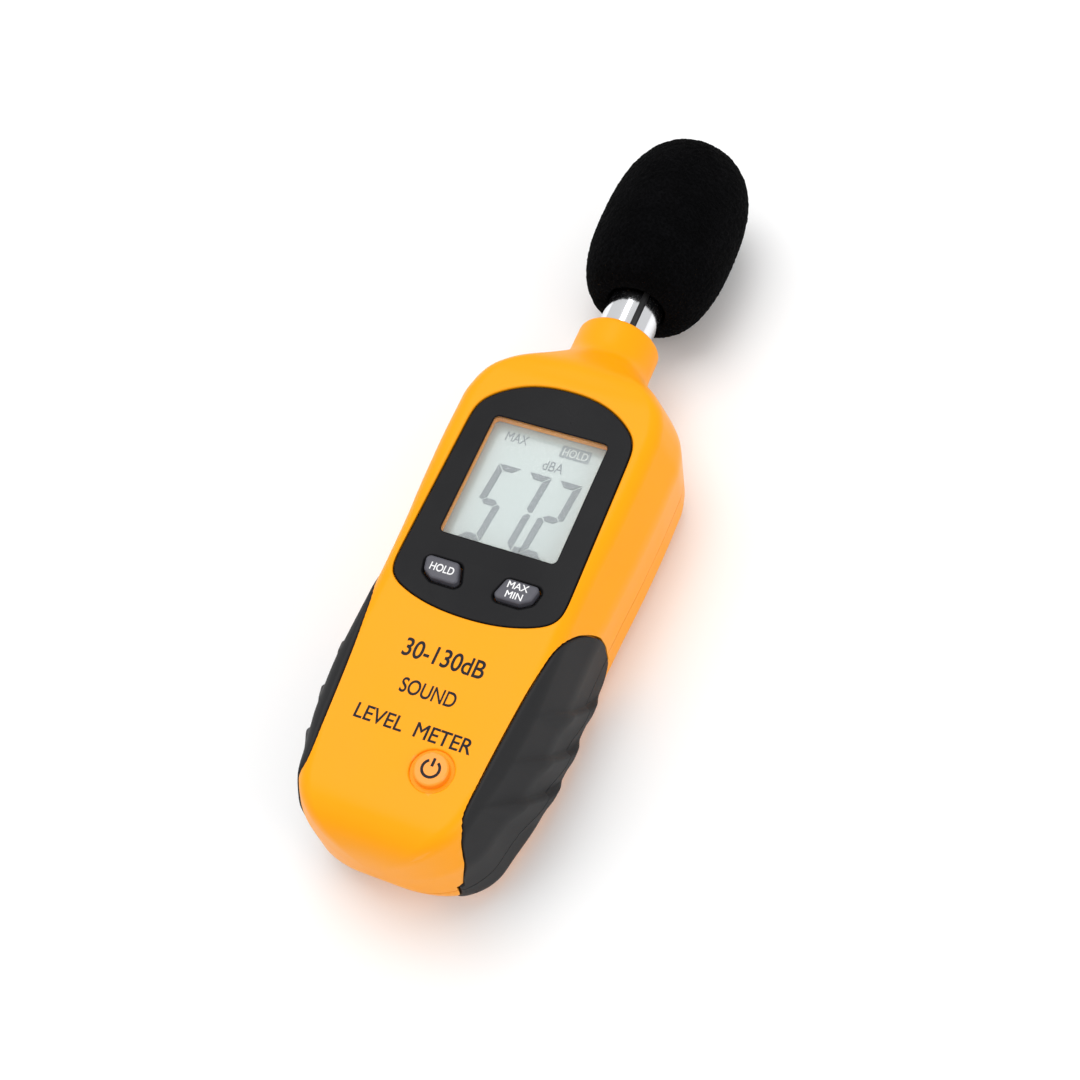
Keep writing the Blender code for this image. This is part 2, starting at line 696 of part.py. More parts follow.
def tube_bore():
    radius = TUBE_RADIUS + GAP
    run = BODY_LENGTH - CAVITY_END
    profile = ((0, -2), (radius, -2), (radius, run + 2), (0, run + 2))
    return turned("bore", profile, (0, CAVITY_END, AXIS_HEIGHT), "Y", 28)


def door_channel():
    """Room for the sliding door: narrow at the outside, wider where its rails run."""
    start, end = -4.0, DOOR_TOP + GAP
    wide = DOOR_HALF_WIDTH + GAP
    step = DOOR_THICKNESS - DOOR_RAIL_THICKNESS - GAP
    mouth = door_outline(start, end, wide)
    channel = plate("channel", mouth, -2.0, DOOR_THICKNESS + GAP)
    rails = door_outline(start, end, wide + DOOR_RAIL)
    add(channel, plate("rails", rails, step, DOOR_THICKNESS + GAP + 0.01))
    return channel


def door_outline(start, end, wide):
    top = rounded(((wide, start - 9), (wide, end), (-wide, end), (-wide, start - 9)), DOOR_CORNER)
    inner = [point for point in top if point[1] > start]
    return [(-wide, start), (wide, start)] + inner


def build_rear_shell():
    shell = case_solid("rear_shell", color=YELLOW, roughness=0.35)
    cut(shell, cavity("room"))
    seat = DOOR_HALF_WIDTH + DOOR_RAIL + GAP + BAY_WALL
    slab = block("seat", (-seat, -1, -1),
                 (seat, DOOR_TOP + GAP + BAY_WALL, DOOR_THICKNESS + GAP + BAY_WALL))
    keep(slab, case_solid("limit", inset=BOSS_SUNK))
    add(shell, slab)
    well = SHELL_SCREW_HEAD + GAP
    bosses = grouped([peg("boss", x, s, well + BOSS_WALL, 0, PARTING_HEIGHT + 2, 14)
                      for x, s in shell_screw_places()])
    keep(bosses, case_solid("limit", inset=BOSS_SUNK))
    add(shell, bosses)
    cut(shell, grouped([peg("hole", x, s, SHELL_SCREW_RADIUS + GAP, 3, PARTING_HEIGHT + 4, 10)
                        for x, s in shell_screw_places()]))
    cut(shell, grouped([peg("well", x, s, well, -2, WELL_DEPTH, 14)
                        for x, s in shell_screw_places()]))
    far = BODY_WIDTH
    cut(shell, block("above", (-far, -far, PARTING_HEIGHT - GAP / 2),
                     (far, BODY_LENGTH + far, far)))
    wall = BAY_HALF_WIDTH + BAY_WALL
    add(shell, block("bay_box", (-wall, BAY_BASE - BAY_WALL, BACK_WALL / 2),
                     (wall, BAY_TOP + BAY_WALL, BAY_CEILING + BAY_WALL)))
    cut(shell, door_channel())
    cut(shell, block("bay", (-BAY_HALF_WIDTH, BAY_BASE, 0.5),
                     (BAY_HALF_WIDTH, BAY_TOP, BAY_CEILING)))
    for x, s in tab_places():
        cut(shell, block("tab_slot", (x - 2.0, s - 0.8, BAY_CEILING - 1),
                         (x + 2.0, s + 0.8, BAY_CEILING + BAY_WALL + 1)))
    cut(shell, tube_bore())
    for side in (-1, 1):
        cut(shell, grip("recess", rear_span, side, grow=GAP))
    tidy(shell)


def build_door():
    """Sliding battery door with rails along its sides and ribs for the thumb."""
    step = DOOR_THICKNESS - DOOR_RAIL_THICKNESS
    door = plate("battery_door", door_outline(DOOR_BASE, DOOR_TOP, DOOR_HALF_WIDTH), -1.0,
                 DOOR_THICKNESS, color=YELLOW, roughness=0.35)
    rails = door_outline(DOOR_BASE, DOOR_TOP, DOOR_HALF_WIDTH + DOOR_RAIL)
    add(door, plate("rails", rails, step, DOOR_THICKNESS + 0.01))
    keep(door, case_solid("limit"))
    for index in range(DOOR_RIBS):
        s = DOOR_TOP - 8.0 - index * DOOR_RIB_PITCH
        cut(door, block("groove", (-6.0, s - 0.5, -1), (6.0, s + 0.5, 0.6)))


# Display and keys --------------------------------------------------------------------------------

def build_display():
    bezel = plate("display_bezel", bezel_outline(), BEZEL_FACE - BEZEL_THICKNESS, BEZEL_FACE,
                  color=(0.018, 0.018, 0.020), roughness=0.3)
    window = oblong(0, WINDOW_CENTRE, WINDOW_WIDTH, WINDOW_LENGTH, WINDOW_CORNER)
    cut(bezel, plate("opening", grown(window, 0.2), POCKET_FLOOR - 1, BEZEL_FACE + 1))
    lens = oblong(0, WINDOW_CENTRE, WINDOW_WIDTH + 2 * LENS_LAP, WINDOW_LENGTH + 2 * LENS_LAP, 2.0)
    lens_base = BEZEL_FACE - BEZEL_THICKNESS
    cut(bezel, plate("rebate", grown(lens, GAP), POCKET_FLOOR - 1,
                     lens_base + LENS_THICKNESS + GAP))
    for side in (-1, 1):
        cut(bezel, plate("key_hole", grown(key_outline(side), GAP), POCKET_FLOOR - 1,
                         BEZEL_FACE + 1))
    plate("display_lens", lens, lens_base, lens_base + LENS_THICKNESS, color=(0.8, 0.85, 0.85),
          roughness=0.05)
    glass_w = WINDOW_WIDTH + 2 * LCD_MARGIN
    glass_l = WINDOW_LENGTH + 2 * LCD_LEDGE
    glass_low = LCD_FACE - LCD_THICKNESS
    plate("lcd_glass", oblong(0, WINDOW_CENTRE, glass_w, glass_l, 0.4, 1), glass_low, LCD_FACE,
          color=(0.48, 0.57, 0.53), roughness=0.25)
    low = BOARD_HEIGHT + GAP
    reach_w = glass_w / 2 + GAP + HOLDER_WALL
    reach_l = glass_l / 2 + GAP + HOLDER_WALL
    holder = block("lcd_holder", (-reach_w, WINDOW_CENTRE - reach_l, low),
                   (reach_w, WINDOW_CENTRE + reach_l, LCD_FACE - 0.4),
                   color=(0.75, 0.75, 0.72), roughness=0.5)
    cut(holder, block("seat", (-glass_w / 2 - GAP, WINDOW_CENTRE - glass_l / 2 - GAP,
                               glass_low - GAP),
                      (glass_w / 2 + GAP, WINDOW_CENTRE + glass_l / 2 + GAP, LCD_FACE + 1)))
    cut(holder, block("light_well", (-glass_w / 2 + 1.5, WINDOW_CENTRE - glass_l / 2 + 5, low - 1),
                      (glass_w / 2 - 1.5, WINDOW_CENTRE + glass_l / 2 - 5, LCD_FACE)))
    for end, word in ((-1, "lower"), (1, "upper")):
        middle = WINDOW_CENTRE + end * (glass_l / 2 - STRIP_WIDTH / 2 - 0.6)
        half = glass_w / 2 - 0.8
        cut(holder, block("strip_slot", (-half - GAP, middle - STRIP_WIDTH / 2 - GAP, low - 1),
                          (half + GAP, middle + STRIP_WIDTH / 2 + GAP, LCD_FACE)))
        block("contact_strip_" + word, (-half, middle - STRIP_WIDTH / 2, BOARD_HEIGHT + GAP),
              (half, middle + STRIP_WIDTH / 2, glass_low - GAP), color=(0.45, 0.30, 0.32),
              roughness=0.7)


def build_key(name, outline, flange, centre, top, **finish):
    """A key: its cap, a flange that keeps it in the shell, and a stem down to its switch."""
    shoulder = CEILING - GAP
    cap = plate(name, outline, shoulder - 0.2, top, **finish)
    bead = plate("flange", flange, shoulder - BUTTON_FLANGE_HEIGHT, shoulder)
    add(cap, bead)
    add(cap, peg("stem", *centre, STEM_RADIUS, PLUNGER_TOP + GAP,
                 shoulder - BUTTON_FLANGE_HEIGHT + 0.2, 14))


def build_switch(word, x, s):
    """A push switch on the board, with a plunger that sinks into its housing."""
    half = SWITCH_SIZE / 2
    body = block(word + "_switch", (x - half, s - half, BOARD_HEIGHT + GAP),
                 (x + half, s + half, SWITCH_FACE), color=(0.05, 0.05, 0.05), roughness=0.5)
    floor = SWITCH_FACE - PLUNGER_DEPTH
    cut(body, peg("hole", x, s, PLUNGER_RADIUS + GAP, BOARD_HEIGHT, SWITCH_FACE + 1, 16))
    peg(word + "_plunger", x, s, PLUNGER_RADIUS, floor, PLUNGER_TOP, 16,
        color=(0.6, 0.6, 0.58), roughness=0.4)


def build_keys():
    x_low = min(x for x, _s in KEY_OUTLINE)
    x_high = max(x for x, _s in KEY_OUTLINE)
    s_low = min(s for _x, s in KEY_OUTLINE)
    s_high = max(s for _x, s in KEY_OUTLINE)
    middle = ((x_low + x_high) / 2, (s_low + s_high) / 2)
    slate = {"color": (0.09, 0.09, 0.115), "roughness": 0.5}
    for side, word in ((-1, "hold"), (1, "max_min")):
        outline = key_outline(side)
        centre = (side * middle[0], middle[1])
        build_key(word + "_button", outline, grown(outline, BUTTON_FLANGE), centre,
                  BEZEL_FACE + BUTTON_PROUD, **slate)
        build_switch(word, *centre)
    ring = [(POWER_X + POWER_RADIUS * math.cos(math.tau * i / 24),
             POWER_S + POWER_RADIUS * math.sin(math.tau * i / 24)) for i in range(24)]
    build_key("power_button", ring, grown(ring, BUTTON_FLANGE), (POWER_X, POWER_S),
              BODY_THICKNESS + BUTTON_PROUD, color=(0.90, 0.33, 0.010), roughness=0.4)
    build_switch("power", POWER_X, POWER_S)


# Electronics -------------------------------------------------------------------------------------

def build_board():
    low = BOARD_HEIGHT - BOARD_THICKNESS
    board = block("main_board", (-BOARD_HALF_WIDTH, BOARD_BASE, low),
                  (BOARD_HALF_WIDTH, BOARD_TOP, BOARD_HEIGHT), color=(0.02, 0.18, 0.07),
                  roughness=0.45)
    for index, (x, s) in enumerate(BOARD_SCREWS, 1):
        cut(board, peg("hole", x, s, BOARD_SCREW_RADIUS + GAP, low - 1, BOARD_HEIGHT + 1, 12))
        screw("board_screw_%d" % index, x, s, low - GAP, BOARD_SCREW_HEAD, 1.3,
              BOARD_SCREW_RADIUS, BOARD_SCREW_LENGTH - 1)
    half = CHIP_SIZE / 2
    under = low - GAP
    block("main_chip", (-half, WINDOW_CENTRE - half, under - CHIP_HEIGHT),
          (half, WINDOW_CENTRE + half, under), color=(0.02, 0.02, 0.02), roughness=0.5)
    peg("capacitor", -9.0, 70.0, 2.5, under - 7.0, under, 18, color=(0.03, 0.04, 0.12),
        roughness=0.35)
    trimmer = block("calibration_trimmer", (6.0, 98.0, under - 4.0), (12.6, 104.6, under),
                    color=(0.03, 0.10, 0.40), roughness=0.45)
    cut(trimmer, block("slot", (7.2, 100.9, under - 5), (11.4, 101.7, under - 3.3)))


def screw(name, x, s, shoulder, head, head_height, shank, length):
    """A cross-slot screw pointing up, its head below the shoulder."""
    profile = ((0, -head_height), (head * 0.7, -head_height), (head, -head_height * 0.6), (head, 0),
               (shank, 0), (shank, length - shank), (shank * 0.3, length), (0, length))
    piece = turned(name, profile, (x, s, shoulder), "Z", 12, color=(0.55, 0.55, 0.56),
                   roughness=0.3, metallic=1.0)
    reach, half = head * 0.62, head * 0.13
    low, high = shoulder - head_height - 1, shoulder - head_height * 0.45
    cross = block("cross", (x - reach, s - half, low), (x + reach, s + half, high))
    add(cross, block("bar", (x - half, s - reach, low), (x + half, s + reach, high)))
    cut(piece, cross)


def build_shell_screws():
    for index, (x, s) in enumerate(shell_screw_places(), 1):
        screw("shell_screw_%d" % index, x, s, WELL_DEPTH - GAP, SHELL_SCREW_HEAD,
              SHELL_SCREW_HEAD_HEIGHT, SHELL_SCREW_RADIUS, SHELL_SCREW_LENGTH)


def wire(name, route, color):
    """A thin insulated wire along its route of (x, s, z) points."""
    line = bpy.data.curves.new(name, "CURVE")
    line.dimensions = "3D"
    line.bevel_depth = WIRE_RADIUS * MM
    line.bevel_resolution = 1
    line.use_fill_caps = True
    spline = line.splines.new("POLY")
    points = spread(route, 4)
    spline.points.add(len(points) - 1)
    for point, place in zip(spline.points, points):
        point.co = (*at(*place), 1.0)
    piece = bpy.data.objects.new(name, line)
    bpy.context.scene.collection.objects.link(piece)
    line.materials.append(material(name, color, 0.45))


def spread(route, steps):
    """Smooth points through a hand-set route."""
    places = [Vector(p) for p in route]
    places = [2 * places[0] - places[1]] + places + [2 * places[-1] - places[-2]]
    points = []
    for a, b, c, d in zip(places, places[1:], places[2:], places[3:]):
        for i in range(steps):
            t = i / steps
            points.append(0.5 * ((2 * b) + (c - a) * t + (2 * a - 5 * b + 4 * c - d) * t * t
                                 + (3 * b - a - 3 * c + d) * t ** 3))
    return points + [places[-2]]


# Microphone --------------------------------------------------------------------------------------

def build_microphone():
    run = TUBE_END - TUBE_START
    inner = TUBE_RADIUS - TUBE_WALL
    tube = turned("mic_tube", ((inner, 0), (TUBE_RADIUS, 0), (TUBE_RADIUS, run), (inner, run)),
                  (0, TUBE_START, AXIS_HEIGHT), "Y", 32, color=(0.8, 0.8, 0.82), roughness=0.12,
                  metallic=1.0)
    slot = block("slot", (-SLOT_WIDTH / 2, BODY_LENGTH - 2, AXIS_HEIGHT),
                 (SLOT_WIDTH / 2, TUBE_END + 2, AXIS_HEIGHT + TUBE_RADIUS + 2))
    centre = at(0, 0, AXIS_HEIGHT)
    turn = Matrix.Rotation(math.radians(SLOT_TURN), 4, "Y")
    slot.data.transform(Matrix.Translation(centre) @ turn @ Matrix.Translation(-centre))
    cut(tube, slot)
    radius = inner - GAP
    bore = radius - SLEEVE_WALL
    start = CAVITY_END - GAP - SLEEVE_FLANGE_LENGTH
    step = SLEEVE_FLANGE_LENGTH
    length = TUBE_END - CAPSULE_LENGTH - 2.0 - start
    rim = radius + SLEEVE_FLANGE
    turned("mic_sleeve", ((bore, 0), (rim, 0), (rim, step), (radius, step), (radius, length),
                          (bore, length)),
           (0, start, AXIS_HEIGHT), "Y", 24, color=(0.015, 0.015, 0.016), roughness=0.6)
    back = TUBE_END - CAPSULE_LENGTH - 2.0 + GAP
    lip = CAPSULE_LENGTH
    turned("mic_capsule", ((0, 0), (radius, 0), (radius, lip), (radius - 1, lip),
                           (radius - 1, lip - 0.5), (0, lip - 0.5)),
           (0, back, AXIS_HEIGHT), "Y", 24, color=(0.55, 0.56, 0.58), roughness=0.3, metallic=1.0)
    under = BOARD_HEIGHT - BOARD_THICKNESS - GAP - WIRE_RADIUS
    for side, word, color in ((-1, "signal", (0.5, 0.02, 0.02)), (1, "ground", (0.02, 0.02, 0.02))):
        x = 2.0 * side
        wire("mic_wire_" + word, ((x, back - 0.5, AXIS_HEIGHT), (x, BODY_LENGTH, AXIS_HEIGHT),
                                  (x, CAVITY_END - 4, AXIS_HEIGHT),
                                  (x * 2, BOARD_TOP + 4, (AXIS_HEIGHT + under) / 2),
                                  (x * 2, BOARD_TOP - 3, under)), color)


def build_windscreen():
    """Foam ball on the tube, with a bore that ends just past the tube. Its flat mouth swells
    to the widest ring and closes in a dome."""
    bore = TUBE_RADIUS + GAP
    wide = FOAM_DIAMETER / 2
    profile = [(0, TUBE_IN_FOAM + 2 * GAP), (bore, TUBE_IN_FOAM + 2 * GAP), (bore, FOAM_LIP),
               (bore + FOAM_LIP, 0)]
    for share in (0.0, 0.02, 0.08, 0.18, 0.32, 0.5, 0.75, 1.0):
        swell = bulge(share, 1.0, FOAM_LOW_POWER)
        profile.append((FOAM_MOUTH_RADIUS + (wide - FOAM_MOUTH_RADIUS) * swell,
                        FOAM_WIDEST * share))
    dome = FOAM_LENGTH - FOAM_WIDEST
    for step in range(1, 10):
        turn = math.pi / 2 * step / 9
        share = math.sin(turn)
        profile.append((wide * bulge(1 - share, 1.0, FOAM_TOP_POWER), FOAM_WIDEST + dome * share))
    turned("windscreen", profile, (0, FOAM_START, AXIS_HEIGHT), "Y", 24,
           color=(0.012, 0.012, 0.013), roughness=0.95)


# Batteries ---------------------------------------------------------------------------------------

def battery_x(index):
    return (index - (BATTERY_COUNT - 1) / 2) * BATTERY_PITCH


def build_batteries():
    """Cells side by side, every second one turned round."""
    radius = BATTERY_DIAMETER / 2
    can = BATTERY_LENGTH - BATTERY_TIP
    for index in range(BATTERY_COUNT):
        profile = ((0, 0), (radius - 0.6, 0), (radius, 0.6), (radius, can - 0.6),
                   (radius - 0.6, can), (BATTERY_TIP_RADIUS, can),
                   (BATTERY_TIP_RADIUS, BATTERY_LENGTH), (0, BATTERY_LENGTH))
        up = index % 2 == 0
        start = battery_base(up)
        if not up:
            profile = [(r, BATTERY_LENGTH - run) for r, run in profile]
        turned("battery_%d" % (index + 1), profile, (battery_x(index), start, BATTERY_HEIGHT),
               "Y", 20, color=(0.10, 0.10, 0.11), roughness=0.35)


def battery_base(up):
    """Where a cell starts: its flat end leans on a spring."""
    near = BAY_BASE + CONTACT_THICKNESS + 2 * GAP
    return near + SPRING_LENGTH if up else near


def tab_places():
    """Solder tabs of the two end contacts, through the bay's ceiling."""
    plate_middle = GAP + CONTACT_THICKNESS / 2
    return ((battery_x(0), BAY_TOP - plate_middle),
            (battery_x(BATTERY_COUNT - 1), BAY_BASE + plate_middle))


def contact_plate(name, x_low, x_high, at_top):
    """A sprung-steel plate against one end wall of the bay."""
    low = BAY_TOP - GAP - CONTACT_THICKNESS if at_top else BAY_BASE + GAP
    return block(name, (x_low, low, BATTERY_HEIGHT - 4.2),
                 (x_high, low + CONTACT_THICKNESS, BATTERY_HEIGHT + 4.2), color=(0.7, 0.68, 0.62),
                 roughness=0.3, metallic=1.0)


def coil(x, at_top):
    """A short cone spring standing on a contact plate."""
    shape = bmesh.new()
    turns, sides, around = 3, 5, 10
    base = BAY_TOP - GAP - CONTACT_THICKNESS if at_top else BAY_BASE + GAP + CONTACT_THICKNESS
    towards = -1 if at_top else 1
    rings = []
    for index in range(turns * around + 1):
        share = index / (turns * around)
        turn = math.tau * turns * share
        radius = 3.4 - 1.2 * share
        run = base + towards * (SPRING_WIRE * 0.2 + (SPRING_LENGTH - SPRING_WIRE * 1.2) * share)
        ring = []
        for side in range(sides):
            tilt = math.tau * side / sides
            out = radius + SPRING_WIRE / 2 * math.cos(tilt)
            ring.append(shape.verts.new(at(x + out * math.cos(turn),
                                           run + SPRING_WIRE / 2 * math.sin(tilt),
                                           BATTERY_HEIGHT + out * math.sin(turn))))
        rings.append(ring)
    for one, two in zip(rings, rings[1:]):
        for i in range(sides):
            shape.faces.new((one[i - 1], one[i], two[i], two[i - 1]))
    shape.faces.new(rings[0])
    shape.faces.new(reversed(rings[-1]))
    return make("coil", shape)


def build_contacts():
    half = BATTERY_DIAMETER / 2 - 1
    first, middle, last = (battery_x(i) for i in range(BATTERY_COUNT))
    tab_low, tab_high = BATTERY_HEIGHT, BAY_CEILING + BAY_WALL + 1.6
    positive = contact_plate("contact_positive", first - half, first + half, True)
    negative = contact_plate("contact_negative", last - half, last + half, False)
    for piece, (x, s) in zip((positive, negative), tab_places()):
        thick = CONTACT_THICKNESS / 2
        add(piece, block("tab", (x - 1.5, s - thick, tab_low), (x + 1.5, s + thick, tab_high)))
    add(negative, coil(last, False))
    add(contact_plate("contact_bridge_base", first - half, middle + half, False),
        coil(first, False))
    add(contact_plate("contact_bridge_top", middle - half, last + half, True), coil(middle, True))
    under = BOARD_HEIGHT - BOARD_THICKNESS - GAP - WIRE_RADIUS
    start = tab_high + GAP + WIRE_RADIUS
    names = ("battery_wire_positive", "battery_wire_negative")
    colors = ((0.5, 0.02, 0.02), (0.02, 0.02, 0.02))
    for name, color, (x, s) in zip(names, colors, tab_places()):
        lean = 4.0 if s < BAY_TOP / 2 else -4.0
        wire(name, ((x, s, start), (x, s + lean / 4, start + 2), (x, s + lean, under - 2),
                    (x, s + lean * 1.5, under)), color)


def main():
    for piece in list(bpy.data.objects):
        bpy.data.objects.remove(piece)
    build_front_shell()
    build_rear_shell()
    build_grips()
    build_door()
    build_display()
    build_keys()
    build_board()
    build_shell_screws()
    build_microphone()
    build_windscreen()
    build_batteries()
    build_contacts()


main()
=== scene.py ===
"""Looks of the hand-held sound level meter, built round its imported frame.

A place on the meter is (x, s, z) in millimetres, as in its design: x to the right of the
centreline, s along the meter from the base end to the microphone, z up from the flat back. at()
turns a place into metres in the frame.
"""
import math
from functools import lru_cache

import bpy
import numpy as np
from mathutils import Matrix, Vector


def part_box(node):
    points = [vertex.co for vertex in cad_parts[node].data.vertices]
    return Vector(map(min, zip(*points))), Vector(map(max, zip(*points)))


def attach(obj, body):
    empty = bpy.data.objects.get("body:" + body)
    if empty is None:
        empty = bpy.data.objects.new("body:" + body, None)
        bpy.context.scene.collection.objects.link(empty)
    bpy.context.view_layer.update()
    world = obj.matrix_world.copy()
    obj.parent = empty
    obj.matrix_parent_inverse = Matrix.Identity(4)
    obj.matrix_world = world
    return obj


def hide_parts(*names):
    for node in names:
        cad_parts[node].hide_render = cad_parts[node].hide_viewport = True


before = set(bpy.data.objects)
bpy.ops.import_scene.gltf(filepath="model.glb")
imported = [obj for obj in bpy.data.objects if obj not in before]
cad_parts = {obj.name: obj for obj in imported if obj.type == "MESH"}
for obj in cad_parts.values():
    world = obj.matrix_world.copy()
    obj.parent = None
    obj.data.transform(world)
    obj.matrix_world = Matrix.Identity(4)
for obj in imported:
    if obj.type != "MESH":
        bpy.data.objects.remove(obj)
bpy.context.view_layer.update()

MM = 0.001
GAP = 0.3                       # clearance between pieces that touch or slide
HALF_LENGTH = 102.5             # from the base end to the frame's origin


def extent(node):
    """Lowest and highest place of a CAD node."""
    low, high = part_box(node)
    shift = Vector((0, HALF_LENGTH, 0))
    return low / MM + shift, high / MM + shift


def at(x, s, z):
    """The point in metres, in the frame."""
    return Vector((x, s - HALF_LENGTH, z)) * MM


# Sizes of the case, as in its design -------------------------------------------------------------

BODY_WIDTH = 56.0
BODY_LENGTH = extent("front_shell")[1].y
BODY_THICKNESS = extent("front_shell")[1].z
PARTING_HEIGHT = extent("front_shell")[0].z - GAP / 2
AXIS_HEIGHT = BODY_THICKNESS / 2
COLLAR_RADIUS = 10.4
COLLAR_RIM = 1.5
FACE_WALL = 3.6
SIDE_WALL = 2.2
BACK_WALL = 2.2
EDGE_RADIUS = 4.1
SIDE_RADIUS = 12.0
BACK_RADIUS = 7.0
SIDE_DROP = 12.1
BASE_ROUND = 14.0
FACE_ROUND = 12.0
HEEL_ROUND = 16.0
END_WALL = 5.5
WIDTH_CURVE = ((0.0, 0.729), (0.10, 0.796), (0.18, 0.879), (0.28, 0.925), (0.39, 0.928),
               (0.49, 0.950), (0.60, 0.985), (0.70, 1.0), (1.0, 1.0))
LEAN_CURVE = ((0.0, 3.2), (0.14, 3.4), (0.39, 4.2), (0.55, 4.7), (1.0, 4.7))
WIDE_SHOULDER = ((4.5, 0.0), (7.5, 0.034), (10.5, 0.13), (13.5, 0.284), (19.5, 0.563),
                 (22.7, 0.70), (26.5, 0.857), (30.5, 0.95), (35.5, 1.0))
DEEP_SHOULDER = ((4.5, 0.0), (8.5, 0.11), (12.5, 0.38), (17.5, 0.69), (22.5, 0.9), (28.0, 1.0))
SHOULDER_LENGTH = 36.0
ROUND_NECK = ((6.0, 1.0), (16.0, 0.5), (26.0, 0.0))
FINE = 6                        # facets of the visible skin for each one of the design's

GRIP_THICKNESS = 1.5
GRIP_PROUD = 0.3
GRIP_SEAM = 0.35                # gap between a grip's long edge and its shell
GRIP_WALL = 1.8
GRIP_BASE = 4.5
GRIP_TOP = 65.0
GRIP_BASE_TAPER = 9.5
GRIP_TOP_TAPER = 15.0
GRIP_BLUNT_BASE = 0.30
GRIP_BLUNT_TOP = 0.16
GRIP_EDGE = ((4.5, 17.9), (14.0, 17.9), (21.0, 18.3), (31.0, 19.0), (41.0, 19.9), (54.0, 21.6),
             (65.0, 22.6))
GRIP_REAR_HEIGHT = 3.4
FIN_PLACES = (16.0, 26.2, 37.5)
FIN_HEIGHT = 1.45
FIN_WIDTH = 3.4
FIN_SLANT = 11.5
FIN_STEP = 0.9
RECESS_ROWS = 44
RECESS_COLUMNS = 16
RECESS_PROUD = 3.0              # the recess's cutter stands this far out of the case
GRIP_ROWS = 190
GRIP_COLUMNS = {"front": 72, "rear": 30}
GRIP_EDGE_REACH = 0.7
GRIP_EDGE_FALL = 0.5

WINDOW_CENTRE = 87.9
WINDOW_WIDTH = 27.4
WINDOW_LENGTH = 31.8
WINDOW_EASE = 0.6                # the shell's opening hides behind the bezel's by this
BEZEL_BOTTOM = 53.6
BEZEL_TOP = 114.9
BEZEL_HALF_BOTTOM = 20.2
BEZEL_HALF_TOP = 19.4
BEZEL_ARCH = 8.6
BEZEL_SAG = 5.0
BEZEL_FACE = extent("display_bezel")[1].z
BEZEL_BACK = extent("display_bezel")[0].z
POCKET_FLOOR = BEZEL_BACK - GAP
LCD_FACE = extent("lcd_glass")[1].z
CEILING = BODY_THICKNESS - FACE_WALL
KEY_OUTLINE = ((3.9, 59.9), (10.4, 59.9), (12.7, 61.4), (13.6, 65.1), (5.6, 65.1))
KEY_TOP = extent("hold_button")[1].z
KEY_LABEL_X = 8.75
KEY_LABEL_S = 62.6
POWER_X = 8.0
POWER_S = 19.5
POWER_RADIUS = 3.75
POWER_TOP = extent("power_button")[1].z
POWER_RING = 1.1
POWER_RING_DEPTH = 0.5

TUBE_RADIUS = extent("mic_tube")[1].x
TUBE_START = extent("mic_tube")[0].y
TUBE_END = extent("mic_tube")[1].y
TUBE_WALL = 0.8
SLOT_WIDTH = 1.6
SLOT_TURN = 27.0
CAVITY_END = TUBE_START - GAP
FOAM_START = extent("windscreen")[0].y
FOAM_END = extent("windscreen")[1].y
FOAM_RADIUS = extent("windscreen")[1].x
FOAM_WIDEST = 22.0
FOAM_TOP_POWER = 2.8
FOAM_LOW_POWER = 2.2
FOAM_MOUTH_RADIUS = 9.5
FOAM_LIP = 0.8
FOAM_BORE_LENGTH = TUBE_END - FOAM_START + 2 * GAP

DOOR_BASE = 10.0
DOOR_TOP = extent("battery_door")[1].y
DOOR_THICKNESS = extent("battery_door")[1].z
DOOR_RAIL = 1.0
DOOR_HALF_WIDTH = extent("battery_door")[1].x - DOOR_RAIL
DOOR_RAIL_THICKNESS = 0.9
DOOR_CORNER = 3.0
BAY_WALL = 1.4
BAY_BASE = 15.0
BAY_HALF_WIDTH = DOOR_HALF_WIDTH - 0.8
BAY_TOP = DOOR_TOP - 2.4
BAY_CEILING = extent("battery_1")[1].z + 2 * GAP
SHELL_SCREWS = [(side * x, s) for x, s in ((19.6, 73.0), (11.6, BODY_LENGTH - 22.0))
                for side in (-1, 1)]
SCREW_HEAD = 2.5
SCREW_HEAD_HEIGHT = 1.8
SCREW_SHANK = 1.3
SCREW_HOLE = 1.6
WELL_DEPTH = 6.0
BOSS_WALL = 1.6
BOSS_SUNK = 0.8


# Curves and outlines -----------------------------------------------------------------------------

def arc(corner, before, after, radius, steps):
    """Points of the arc that rounds a corner, given the two directions that leave it."""
    half = before.angle(after) / 2
    reach = min(radius / math.tan(half), 0.48 * before.length, 0.48 * after.length)
    radius = reach * math.tan(half)
    start = corner + before.normalized() * reach
    centre = corner + (before.normalized() + after.normalized()).normalized() * (
        radius / math.sin(half))
    spoke = start - centre
    turn = math.pi - 2 * half
    side = 1 if before.x * after.y - before.y * after.x < 0 else -1
    return [centre + Matrix.Rotation(side * turn * i / steps, 2) @ spoke
            for i in range(steps + 1)]


def rounded(points, radius, steps=10):
    """The outline with each corner turned into an arc."""
    outline = []
    for index, point in enumerate(points):
        corner = Vector(point)
        before = Vector(points[index - 1]) - corner
        after = Vector(points[(index + 1) % len(points)]) - corner
        outline += arc(corner, before, after, radius, steps)
    return outline


def grown(outline, by):
    """The outline moved outwards by a distance; it runs anticlockwise."""
    result = []
    for index, here in enumerate(outline):
        back = (here - outline[index - 1]).normalized()
        forth = (outline[(index + 1) % len(outline)] - here).normalized()
        normal = Vector((back.y + forth.y, -back.x - forth.x))
        normal /= max(normal.length_squared / 2, 0.5)
        result.append(here + normal * by)
    return result


def oblong(x, s, width, length, corner, steps=8):
    """A rectangle with round corners about a centre."""
    w, h = width / 2, length / 2
    return rounded(((x - w, s - h), (x + w, s - h), (x + w, s + h), (x - w, s + h)), corner, steps)


def ring_outline(x, s, radius, steps=64):
    """A circle as an outline."""
    return [Vector((x + radius * math.cos(math.tau * i / steps),
                    s + radius * math.sin(math.tau * i / steps))) for i in range(steps)]


